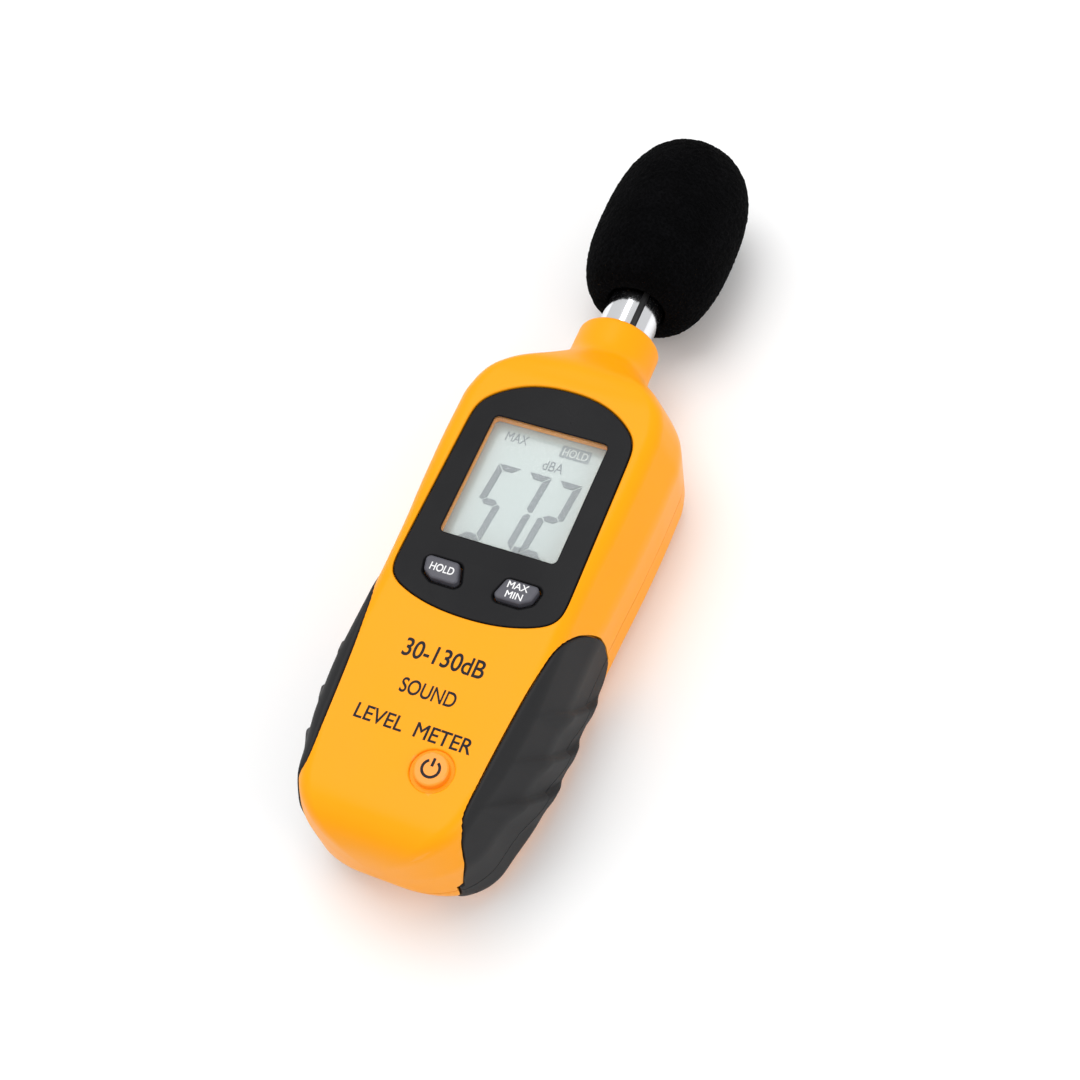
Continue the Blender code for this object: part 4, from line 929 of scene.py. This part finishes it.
def area_light(name, place, size, power, color=(1.0, 1.0, 1.0)):
    """A soft square light that faces the meter."""
    data = bpy.data.lights.new(name, "AREA")
    data.shape = "SQUARE"
    data.size = size
    data.energy = power
    data.color = color
    light = bpy.data.objects.new(name, data)
    bpy.context.scene.collection.objects.link(light)
    light.location = place
    light.rotation_mode = "QUATERNION"
    light.rotation_quaternion = (Vector(place) - Vector((0, 0, 0.02))).to_track_quat("Z", "Y")


def make_studio():
    """Pale floor, an even white room and three soft lights."""
    fresh()
    bpy.ops.mesh.primitive_plane_add(size=6.0, location=(0, 0, -0.0002))
    floor = named("studio_floor")
    material, tree, shader = start_finish("pale_floor", Base_Color=(0.90, 0.90, 0.90, 1.0),
                                          Roughness=0.8)
    place = tree.nodes.new("ShaderNodeTexCoord").outputs["Object"]
    cloud = node(tree, "ShaderNodeTexNoise", scale=3.0)
    tree.links.new(place, cloud.inputs["Vector"])
    tree.links.new(blended(tree, cloud.outputs["Fac"], (0.90, 0.90, 0.90), (0.92, 0.92, 0.92)),
                   shader.inputs["Base Color"])
    floor.data.materials.append(material)
    world = bpy.data.worlds.new("studio")
    bpy.context.scene.world = world
    world.use_nodes = True
    background = world.node_tree.nodes["Background"]
    background.inputs["Color"].default_value = (1.0, 1.0, 1.0, 1.0)
    background.inputs["Strength"].default_value = 0.72
    area_light("overhead_softbox", (-0.25, 0.25, 1.1), 0.9, 7.0)
    area_light("side_softbox", (0.9, -0.15, 0.55), 0.6, 2.4)
    area_light("back_softbox", (-0.7, -0.6, 0.7), 0.6, 1.2)
    bpy.context.scene.view_settings.view_transform = "Standard"


# Case --------------------------------------------------------------------------------------------

def case_rows():
    """Places of the case's cross-sections, closer together towards the base and the neck."""
    base = [BASE_ROUND * (i / 18) ** 2.2 for i in range(1, 19)]
    shoulder = BODY_LENGTH - SHOULDER_LENGTH
    count = 62
    straight = [BASE_ROUND + (shoulder - BASE_ROUND) * i / count for i in range(1, count + 1)]
    count = 42
    neck = [shoulder + (SHOULDER_LENGTH - COLLAR_RIM) * i / count for i in range(1, count + 1)]
    return [0.04] + base + straight + neck


def whole_ring(s, half):
    """A half section and its mirror image as one ring of places."""
    loop = list(half) + [Vector((-p.x, p.y)) for p in reversed(half[1:-1])]
    return [(p.x, s, p.y) for p in loop]


def case_solid(name, inset=0.0, fine=FINE):
    """The whole case, from the rounded base end to the neck's mouth."""
    rows = [s for s in case_rows() if s > inset * 1.5]
    rings = [whole_ring(s, half_section(s, inset, inset, inset, fine)) for s in rows]
    for step in range(1, 6):
        turn = math.pi / 2 * step / 5
        pull = inset + COLLAR_RIM * (1 - math.cos(turn))
        s = BODY_LENGTH - COLLAR_RIM + COLLAR_RIM * math.sin(turn)
        rings.append(whole_ring(s, half_section(s, pull, pull, pull, fine)))
    return tube_of(name, rings)


def cavity():
    """The room inside the case, narrower beside the grips."""
    behind_grip = GRIP_THICKNESS + GAP + GRIP_WALL
    grip_end = GRIP_TOP + 3.0
    shoulder = BODY_LENGTH - SHOULDER_LENGTH
    wider = grip_end + 3.0
    places = [END_WALL + (grip_end - END_WALL) * share for share in (0, 0.06, 0.14, 0.4, 0.7, 1)]
    places += [wider + (shoulder - wider) * i / 2 for i in range(3)]
    places += [shoulder + (CAVITY_END - shoulder) * i / 6 for i in range(1, 7)]
    rings = []
    for s in places:
        side = behind_grip if s <= grip_end else SIDE_WALL
        face = FACE_WALL
        if s >= BODY_LENGTH - 28.0:
            share = curve(DEEP_SHOULDER, BODY_LENGTH - s)
            face = SIDE_WALL + (FACE_WALL - SIDE_WALL) * share
        rings.append(whole_ring(s, half_section(s, side, face, BACK_WALL)))
    return tube_of("room", rings)


def grip_places(count):
    """Rows along a grip, closer together at its two ends."""
    places = []
    for row in range(count + 1):
        eased_share = (1 - math.cos(math.pi * row / count)) / 2
        share = 0.5 * row / count + 0.5 * eased_share
        places.append(GRIP_BASE + (GRIP_TOP - GRIP_BASE) * share)
    return places


def on_case(places, span, columns, lift, side):
    """Rows of places on the case's surface, raised by lift(s, shares across, width)."""
    rows = []
    across = np.linspace(0.0, 1.0, columns + 1)
    for s in places:
        start, end = span(s)
        shares = start + (end - start) * across
        surface = along_section(s, shares)
        height = lift(s, across, (end - start) * section_line(round(s, 4))[2])
        points = np.stack([surface[:, 0], np.full(len(shares), s), surface[:, 1]], axis=-1)
        points = points + outward(s, shares) * height[:, None]
        points[:, 0] *= side
        rows.append(points)
    return np.array(rows)


def thickened(piece, thickness):
    """A wall behind or before the sheet, with its faces turned out."""
    edit(piece)
    bpy.ops.mesh.normals_make_consistent(inside=False)
    fresh()
    apply_modifier(piece, "SOLIDIFY", thickness=thickness * MM, offset=-1.0,
                   use_even_offset=False)
    edit(piece)
    bpy.ops.mesh.normals_make_consistent(inside=False)
    fresh()
    return piece


def recess(span, side):
    """The room for a grip, as a cutter that stands out of the case."""
    places = [GRIP_BASE - GAP] + grip_places(RECESS_ROWS) + [GRIP_TOP + GAP]

    def layer(height):
        return on_case(places, lambda s: span(s, GAP), RECESS_COLUMNS,
                       lambda s, across, width: np.full(len(across), height), side)

    return sandwich("recess", layer(RECESS_PROUD), layer(-GRIP_THICKNESS - GAP))


def sandwich(name, outer, inner):
    """A closed solid between two matching grids of places."""
    top, bottom = grid(name, outer), grid("under", inner)
    piece = joined([top, bottom], name)
    edit(piece)
    bpy.ops.mesh.select_all(action="DESELECT")
    bpy.ops.mesh.select_non_manifold()
    bpy.ops.mesh.bridge_edge_loops()
    bpy.ops.mesh.select_all(action="SELECT")
    bpy.ops.mesh.normals_make_consistent(inside=False)
    fresh()
    return piece


def tube_bore():
    """Bore in the neck for the microphone tube."""
    run = BODY_LENGTH - CAVITY_END
    radius = TUBE_RADIUS + GAP
    return spun("bore", ((0, -2), (radius, -2), (radius, run - 0.5), (radius + 0.35, run - 0.1),
                         (radius + 0.6, run + 2), (0, run + 2)),
                (0, CAVITY_END, AXIS_HEIGHT), "Y", 72)


def make_front_case():
    """Front shell, with the bezel's pocket, the key holes and the grips' recesses."""
    shell = case_solid("front_case")
    carve(shell, cavity())
    far = BODY_WIDTH
    split = PARTING_HEIGHT + GAP / 2
    carve(shell, block("below", (-far, -far, -far), (far, BODY_LENGTH + far, split)))
    carve(shell, punch(grown(bezel_outline(), 0.2), POCKET_FLOOR, BODY_THICKNESS, 0.45))
    holes = [punch(window_outline(WINDOW_EASE), CEILING - 2.0, BODY_THICKNESS)]
    holes += [punch(grown(key_outline(side), GAP), CEILING - 2.0, BODY_THICKNESS)
              for side in (-1, 1)]
    holes.append(punch(ring_outline(POWER_X, POWER_S, POWER_RADIUS + GAP), CEILING - 2.0,
                       BODY_THICKNESS - POWER_RING_DEPTH, 0.1))
    carve(shell, joined(holes, "holes"))
    ring = ring_outline(POWER_X, POWER_S, POWER_RADIUS + GAP + POWER_RING - 0.5)
    carve(shell, punch(ring, BODY_THICKNESS - POWER_RING_DEPTH, BODY_THICKNESS, 0.48))
    carve(shell, tube_bore())
    for side in (-1, 1):
        carve(shell, recess(front_span, side))
    finished(shell, "meter", FINISH["case"], ["front_shell"], level=True)


def door_outline(start, end, wide):
    """The door seen from the back, round at its two upper corners."""
    top = rounded(((wide, start - 9), (wide, end), (-wide, end), (-wide, start - 9)), DOOR_CORNER)
    inner = [point for point in top if point.y > start]
    return [Vector((-wide, start)), Vector((wide, start))] + inner


def door_channel():
    """Room for the sliding door: narrow at the outside, wider where its rails run."""
    start, end = -4.0, DOOR_TOP + GAP
    wide = DOOR_HALF_WIDTH + GAP
    step = DOOR_THICKNESS - DOOR_RAIL_THICKNESS - GAP
    channel = stack("channel", door_outline(start, end, wide),
                    [(-2.0, 0.0), (DOOR_THICKNESS + GAP, 0.0)])
    rails = stack("rails", door_outline(start, end, wide + DOOR_RAIL),
                  [(step, 0.0), (DOOR_THICKNESS + GAP + 0.01, 0.0)])
    return carve(channel, rails, "UNION")


def make_rear_case():
    """Rear shell, with the battery bay, the door's channel, the screw wells and recesses."""
    shell = case_solid("rear_case")
    carve(shell, cavity())
    seat = DOOR_HALF_WIDTH + DOOR_RAIL + GAP + BAY_WALL
    slab = block("seat", (-seat, -1, -1),
                 (seat, DOOR_TOP + GAP + BAY_WALL, DOOR_THICKNESS + GAP + BAY_WALL))
    carve(slab, case_solid("limit", BOSS_SUNK, 1), "INTERSECT")
    carve(shell, slab, "UNION")
    well = SCREW_HEAD + GAP
    bosses = joined([peg("boss", x, s, well + BOSS_WALL, 0, PARTING_HEIGHT + 2)
                     for x, s in SHELL_SCREWS], "bosses")
    carve(bosses, case_solid("limit", BOSS_SUNK, 1), "INTERSECT")
    carve(shell, bosses, "UNION")
    carve(shell, joined([peg("hole", x, s, SCREW_HOLE, 3, PARTING_HEIGHT + 4)
                         for x, s in SHELL_SCREWS], "holes"))
    wells = [spun("well", ((0, -2), (well + 0.4, -2), (well + 0.4, 0.0), (well + 0.12, 0.12),
                           (well, 0.4), (well, WELL_DEPTH), (0, WELL_DEPTH)), (x, s, 0), "Z", 48)
             for x, s in SHELL_SCREWS]
    carve(shell, joined(wells, "wells"))
    far = BODY_WIDTH
    carve(shell, block("above", (-far, -far, PARTING_HEIGHT - GAP / 2),
                       (far, BODY_LENGTH + far, far)))
    wall = BAY_HALF_WIDTH + BAY_WALL
    carve(shell, block("bay_box", (-wall, BAY_BASE - BAY_WALL, BACK_WALL / 2),
                       (wall, BAY_TOP + BAY_WALL, BAY_CEILING + BAY_WALL)), "UNION")
    carve(shell, door_channel())
    carve(shell, block("bay", (-BAY_HALF_WIDTH, BAY_BASE, 0.5),
                       (BAY_HALF_WIDTH, BAY_TOP, BAY_CEILING)))
    carve(shell, tube_bore())
    for side in (-1, 1):
        carve(shell, recess(rear_span, side))
    finished(shell, "meter", FINISH["case"], ["rear_shell"], level=True)


# Grips -------------------------------------------------------------------------------------------

def grip_lift(span):
    """Height of a grip's skin: fins, and a rounded fall to the seam along its edges."""

    def lift(s, across, width):
        down = 1 + 0.8 * across if span is rear_span else across
        seam = (1 - across if span is rear_span else across) * width
        ends = min(s - GRIP_BASE, GRIP_TOP - s)
        near = np.clip(1 - np.minimum(seam, ends) / GRIP_EDGE_REACH, 0.0, 1.0)
        return GRIP_PROUD + fins(s, down) - GRIP_EDGE_FALL * near ** 2.2

    return lift


def make_grips():
    """Front and rear rubber on each side, from the seam in the face to the heel."""
    places = grip_places(GRIP_ROWS)
    for side, word in ((-1, "left"), (1, "right")):
        for end, span in (("front", front_span), ("rear", rear_span)):
            columns = GRIP_COLUMNS[end]
            outer = on_case(places, span, columns, grip_lift(span), side)
            inner = on_case(places, span, columns,
                            lambda s, across, width: np.full(len(across), -GRIP_THICKNESS), side)
            piece = sandwich("%s_rubber_%s" % (end, word), outer, inner)
            finished(piece, "meter", FINISH["rubber"],
                     ["%s_grip_%s" % (end, word)], angle=50)


# Display -----------------------------------------------------------------------------------------

def make_bezel():
    """Display panel with its window and the wells of the two keys."""
    bezel = cap("bezel_panel", bezel_outline(), BEZEL_BACK, BEZEL_FACE, 0.35)
    holes = [punch(window_outline(0.15), POCKET_FLOOR - 1, BEZEL_FACE, 0.3)]
    holes += [punch(grown(key_outline(side), GAP), POCKET_FLOOR - 1, BEZEL_FACE, 0.75)
              for side in (-1, 1)]
    carve(bezel, joined(holes, "holes"))
    lens_low, lens_high = extent("display_lens")
    rebate = oblong(0, WINDOW_CENTRE, lens_high.x - lens_low.x + 2 * GAP,
                    lens_high.y - lens_low.y + 2 * GAP, 2.0)
    carve(bezel, stack("rebate", rebate, [(POCKET_FLOOR - 1, 0.0), (lens_high.z + GAP, 0.0)]))
    finished(bezel, "meter", FINISH["bezel"], ["display_bezel"], level=True)


def make_key_cap(name, outline, low, top, material, body, node_name, edge):
    """A key with a rounded edge."""
    levels = [(low, 0.0), (top - edge, 0.0)] + roll(top, edge, -1)
    key = stack(name, outline, levels)
    finished(key, body, material, [node_name], angle=40)


def make_keys():
    """The two display keys with their labels, and the power key with its sign."""
    for side, word, words, lines in ((-1, "hold", "HOLD", 1), (1, "max_min", "MAX\nMIN", 2)):
        low = extent(word + "_button")[0].z
        make_key_cap(word + "_key_cap", key_outline(side), low, KEY_TOP, FINISH["key"],
                     word + "_key", word + "_button", 0.55)
        height, width = (1.9, 5.6) if lines == 1 else (3.9, 4.8)
        label = lettering(word + "_label", words, side * KEY_LABEL_X, KEY_LABEL_S,
                          KEY_TOP + 0.01, height, width)
        finished(label, word + "_key", FINISH["white_print"])
    make_key_cap("power_key_cap", ring_outline(POWER_X, POWER_S, POWER_RADIUS),
                 extent("power_button")[0].z, POWER_TOP, FINISH["power"],
                 "power_key", "power_button", 0.5)
    make_power_sign()


def make_power_sign():
    """Ring with a gap at the top, and a bar through the gap."""
    radius, half = 1.85, 0.30
    gap = 32
    count = 40
    outer, inner = [], []
    for step in range(count + 1):
        turn = math.radians(90 + gap + (360 - 2 * gap) * step / count)
        ray = Vector((math.cos(turn), math.sin(turn)))
        centre = Vector((POWER_X, POWER_S))
        outer.append(centre + ray * (radius + half))
        inner.append(centre + ray * (radius - half))
    places = np.array([[(p.x, p.y, POWER_TOP + 0.025) for p in line] for line in (outer, inner)])
    ring = thickened(grid("power_ring", places), 0.05)
    bar = block("power_bar", (POWER_X - half, POWER_S + 0.5, POWER_TOP - 0.025),
                (POWER_X + half, POWER_S + radius + 0.5, POWER_TOP + 0.025))
    sign = joined([ring, bar], "power_sign")
    finished(sign, "power_key", FINISH["print"])


def flat_shape(name, points, z, thickness=0.04):
    """A thin flat piece with straight edges."""
    fresh()
    bpy.ops.mesh.primitive_circle_add(vertices=len(points), fill_type="NGON")
    piece = named(name)
    for corner, (x, s) in zip(piece.data.vertices, points):
        corner.co = at(x, s, z)
    return thickened(piece, thickness)


DIGIT_LENGTH = 20.4
DIGIT_WIDTH = 5.6
DIGIT_BAR = 1.6
DIGIT_LEAN = 0.09
DIGIT_TOP = 93.9
DIGIT_PLACES = (-6.4, 1.0, 8.4)
SEGMENTS = {"2": "abged", "5": "afgcd", "7": "abc"}


def segment_points(kind):
    """Outline of one bar of a seven-bar digit about the digit's centre."""
    w, h, t = DIGIT_WIDTH / 2, DIGIT_LENGTH / 2, DIGIT_BAR
    gap = 0.18
    if kind in "ad":
        up = 1 if kind == "a" else -1
        return [(-w + gap, up * h), (w - gap, up * h), (w - t - gap, up * (h - t)),
                (-w + t + gap, up * (h - t))]
    if kind == "g":
        return [(-w + t * 0.6, 0), (-w + t + gap, t / 2), (w - t - gap, t / 2), (w - t * 0.6, 0),
                (w - t - gap, -t / 2), (-w + t + gap, -t / 2)]
    side = 1 if kind in "bc" else -1
    up = 1 if kind in "bf" else -1
    return [(side * w, up * (h - gap)), (side * w, up * gap * 2.5), (side * (w - t * 0.5), up * gap),
            (side * (w - t), up * (t / 2 + gap)), (side * (w - t), up * (h - t - gap))]


def make_digits():
    """The reading 57.2, whose lower edge runs under the bezel."""
    z = LCD_FACE + 0.05
    bars = []
    low = WINDOW_CENTRE - WINDOW_LENGTH / 2 - 0.9
    for figure, x in zip("572", DIGIT_PLACES):
        for kind in SEGMENTS[figure]:
            points = []
            for px, ps in segment_points(kind):
                s = max(DIGIT_TOP - DIGIT_LENGTH / 2 + ps, low)
                points.append((x + px + (s - DIGIT_TOP) * DIGIT_LEAN, s))
            bars.append(flat_shape("bar", points, z))
    bars.append(flat_shape("point", oblong(3.2, low + 3.0, 1.7, 1.7, 0.2), z))
    digits = joined(bars, "display_digits")
    finished(digits, "meter", FINISH["segments"])


def make_display_marks():
    """Small marks above the reading."""
    z = LCD_FACE + 0.035
    s = WINDOW_CENTRE + WINDOW_LENGTH / 2
    frame_mark = flat_shape("hold_mark", oblong(6.5, s - 2.5, 7.2, 3.3, 0.3), LCD_FACE + 0.02, 0.015)
    finished(frame_mark, "meter", FINISH["faint_segments"])
    marks = (("max_mark", "MAX", -7.9, s - 2.4, 2.5, 5.4, "segments"),
             ("hold_letters", "HOLD", 6.5, s - 2.5, 2.1, 6.0, "pale_segments"),
             ("unit_mark", "dBA", 2.9, s - 7.1, 2.6, 4.9, "segments"))
    for name, words, x, place, height, width, tone in marks:
        label = lettering(name, words, x, place, z, height, width, 0.02, 0.008)
        finished(label, "meter", FINISH[tone])


# Print on the face -------------------------------------------------------------------------------

def make_print():
    """Print on the lower face."""
    z = BODY_THICKNESS + 0.01
    for name, words, x, s, height, width in (
            ("range_print", "30-130dB", 0.2, 43.4, 4.3, 18.7),
            ("sound_print", "SOUND", 0.2, 35.1, 3.5, 12.6),
            ("meter_print", "LEVEL  METER", 0.6, 26.7, 3.4, 26.6)):
        finished(lettering(name, words, x, s, z, height, width), "meter", FINISH["print"])


# Microphone --------------------------------------------------------------------------------------

def make_tube():
    """Chromed tube with a lengthwise slot."""
    run = TUBE_END - TUBE_START
    inner = TUBE_RADIUS - TUBE_WALL
    edge = 0.15
    profile = ((inner, edge), (inner + edge, 0), (TUBE_RADIUS - edge, 0), (TUBE_RADIUS, edge),
               (TUBE_RADIUS, run - edge), (TUBE_RADIUS - edge, run), (inner + edge, run),
               (inner, run - edge))
    tube = spun("microphone_tube", profile, (0, TUBE_START, AXIS_HEIGHT), "Y", 128)
    slot = block("slot", (-SLOT_WIDTH / 2, BODY_LENGTH - 2, AXIS_HEIGHT),
                 (SLOT_WIDTH / 2, TUBE_END + 2, AXIS_HEIGHT + TUBE_RADIUS + 2))
    only(slot)
    bpy.ops.transform.rotate(value=math.radians(-SLOT_TURN), orient_axis="Y",
                             center_override=at(0, 0, AXIS_HEIGHT))
    bpy.ops.object.transform_apply(location=True, rotation=True, scale=True)
    carve(tube, slot)
    finished(tube, "meter", FINISH["chrome"], ["mic_tube"], angle=30)


def foam_profile(count_low, count_top):
    """Half outline from the bore's end round the mouth to the tip."""
    bore = TUBE_RADIUS + GAP
    points = [(0.0, FOAM_BORE_LENGTH), (bore, FOAM_BORE_LENGTH), (bore, FOAM_LIP)]
    for step in range(1, 5):
        turn = math.pi / 2 * step / 4
        points.append((bore + FOAM_LIP * (1 - math.cos(turn)), FOAM_LIP * (1 - math.sin(turn))))
    for step in range(count_low + 1):
        share = (step / count_low) ** 1.8
        swell = bulge(share, 1.0, FOAM_LOW_POWER)
        points.append((FOAM_MOUTH_RADIUS + (FOAM_RADIUS - FOAM_MOUTH_RADIUS) * swell,
                       FOAM_WIDEST * share))
    dome = FOAM_END - FOAM_START - FOAM_WIDEST
    for step in range(1, count_top + 1):
        share = math.sin(math.pi / 2 * step / count_top)
        points.append((FOAM_RADIUS * bulge(1 - share, 1.0, FOAM_TOP_POWER),
                       FOAM_WIDEST + dome * share))
    return points


def make_foam():
    """Foam windscreen, with open cells raised out of its skin."""
    foam = spun("foam_ball", foam_profile(70, 110), (0, FOAM_START, AXIS_HEIGHT), "Y", 260)
    cells = bpy.data.textures.new("foam_cells", "CLOUDS")
    cells.noise_scale = 0.0011
    cells.noise_depth = 2
    apply_modifier(foam, "DISPLACE", texture=cells, texture_coords="GLOBAL", strength=0.0006,
                   mid_level=1.0)
    finished(foam, "foam_windscreen", FINISH["foam"], ["windscreen"], angle=180)


# Back --------------------------------------------------------------------------------------------

def make_door():
    """Sliding door: rails along its sides, ribs for the thumb and an arrow."""
    step = DOOR_THICKNESS - DOOR_RAIL_THICKNESS
    door = stack("sliding_door", door_outline(DOOR_BASE, DOOR_TOP, DOOR_HALF_WIDTH),
                 [(0.0, -0.3), (0.09, -0.09), (0.3, 0.0), (DOOR_THICKNESS, 0.0)])
    rails = stack("rails", door_outline(DOOR_BASE, DOOR_TOP, DOOR_HALF_WIDTH + DOOR_RAIL),
                  [(step, 0.0), (DOOR_THICKNESS + 0.01, 0.0)])
    carve(door, rails, "UNION")
    carve(door, case_solid("limit", 0.0, 2), "INTERSECT")
    ribs = []
    for index in range(4):
        s = DOOR_TOP - 8.0 - index * 2.2
        ribs.append(stack("groove", oblong(0, s, 12.0, 1.0, 0.49), [(-1.0, 0.3), (0.0, 0.3),
                                                                   (0.3, 0.0), (0.6, -0.2)]))
    s = DOOR_TOP - 20.0
    ribs.append(stack("arrow", rounded(((-3.2, s), (0.0, s - 4.0), (3.2, s)), 0.4, 3),
                      [(-1.0, 0.15), (0.0, 0.15), (0.4, 0.0)]))
    carve(door, joined(ribs, "grooves"))
    finished(door, "door", FINISH["case"], ["battery_door"], level=True)


def make_screws():
    """Cross-head screws, seen down their wells."""
    shoulder = WELL_DEPTH - GAP
    head = SCREW_HEAD
    tall = SCREW_HEAD_HEIGHT
    shank = SCREW_SHANK
    length = extent("shell_screw_1")[1].z - shoulder
    for index, (x, s) in enumerate(SHELL_SCREWS, 1):
        profile = ((0, -tall), (head * 0.55, -tall * 0.99), (head * 0.8, -tall * 0.88),
                   (head * 0.95, -tall * 0.6), (head, -tall * 0.3), (head, 0), (shank, 0),
                   (shank, length - shank), (shank * 0.3, length), (0, length))
        screw = spun("cross_screw_%d" % index, profile, (x, s, shoulder), "Z", 48)
        reach, half = head * 0.55, head * 0.11
        bottom, top = shoulder - tall - 1, shoulder - tall * 0.45
        cross = block("cross", (x - reach, s - half, bottom), (x + reach, s + half, top))
        bar = block("bar", (x - half, s - reach, bottom), (x + half, s + reach, top))
        carve(screw, carve(cross, bar, "UNION"))
        finished(screw, "meter", FINISH["plated"], ["shell_screw_%d" % index])


# Pieces of the frame that stay -------------------------------------------------------------------

KEPT = {
    "display_lens": "lens", "lcd_glass": "lcd", "lcd_holder": "holder",
    "contact_strip_lower": "strip", "contact_strip_upper": "strip", "main_board": "board",
    "main_chip": "chip", "capacitor": "chip", "calibration_trimmer": "trimmer",
    "hold_switch": "chip", "max_min_switch": "chip", "power_switch": "chip",
    "hold_plunger": "plunger", "max_min_plunger": "plunger", "power_plunger": "plunger",
    "mic_sleeve": "sleeve", "mic_capsule": "capsule", "mic_wire_signal": "red_wire",
    "mic_wire_ground": "black_wire", "battery_wire_positive": "red_wire",
    "battery_wire_negative": "black_wire", "battery_1": "battery", "battery_2": "battery",
    "battery_3": "battery", "contact_positive": "plated", "contact_negative": "plated",
    "contact_bridge_base": "plated", "contact_bridge_top": "plated", "board_screw_1": "plated",
    "board_screw_2": "plated", "board_screw_3": "plated",
}


def finish_kept_nodes():
    """Finishes for the pieces of the frame that stay as they are."""
    for name, tone in KEPT.items():
        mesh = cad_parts[name].data
        mesh.materials.clear()
        mesh.materials.append(FINISH[tone])


make_camera()
make_studio()
make_front_case()
make_rear_case()
make_grips()
make_bezel()
make_keys()
make_digits()
make_display_marks()
make_print()
make_tube()
make_foam()
make_door()
make_screws()
finish_kept_nodes()
fresh()
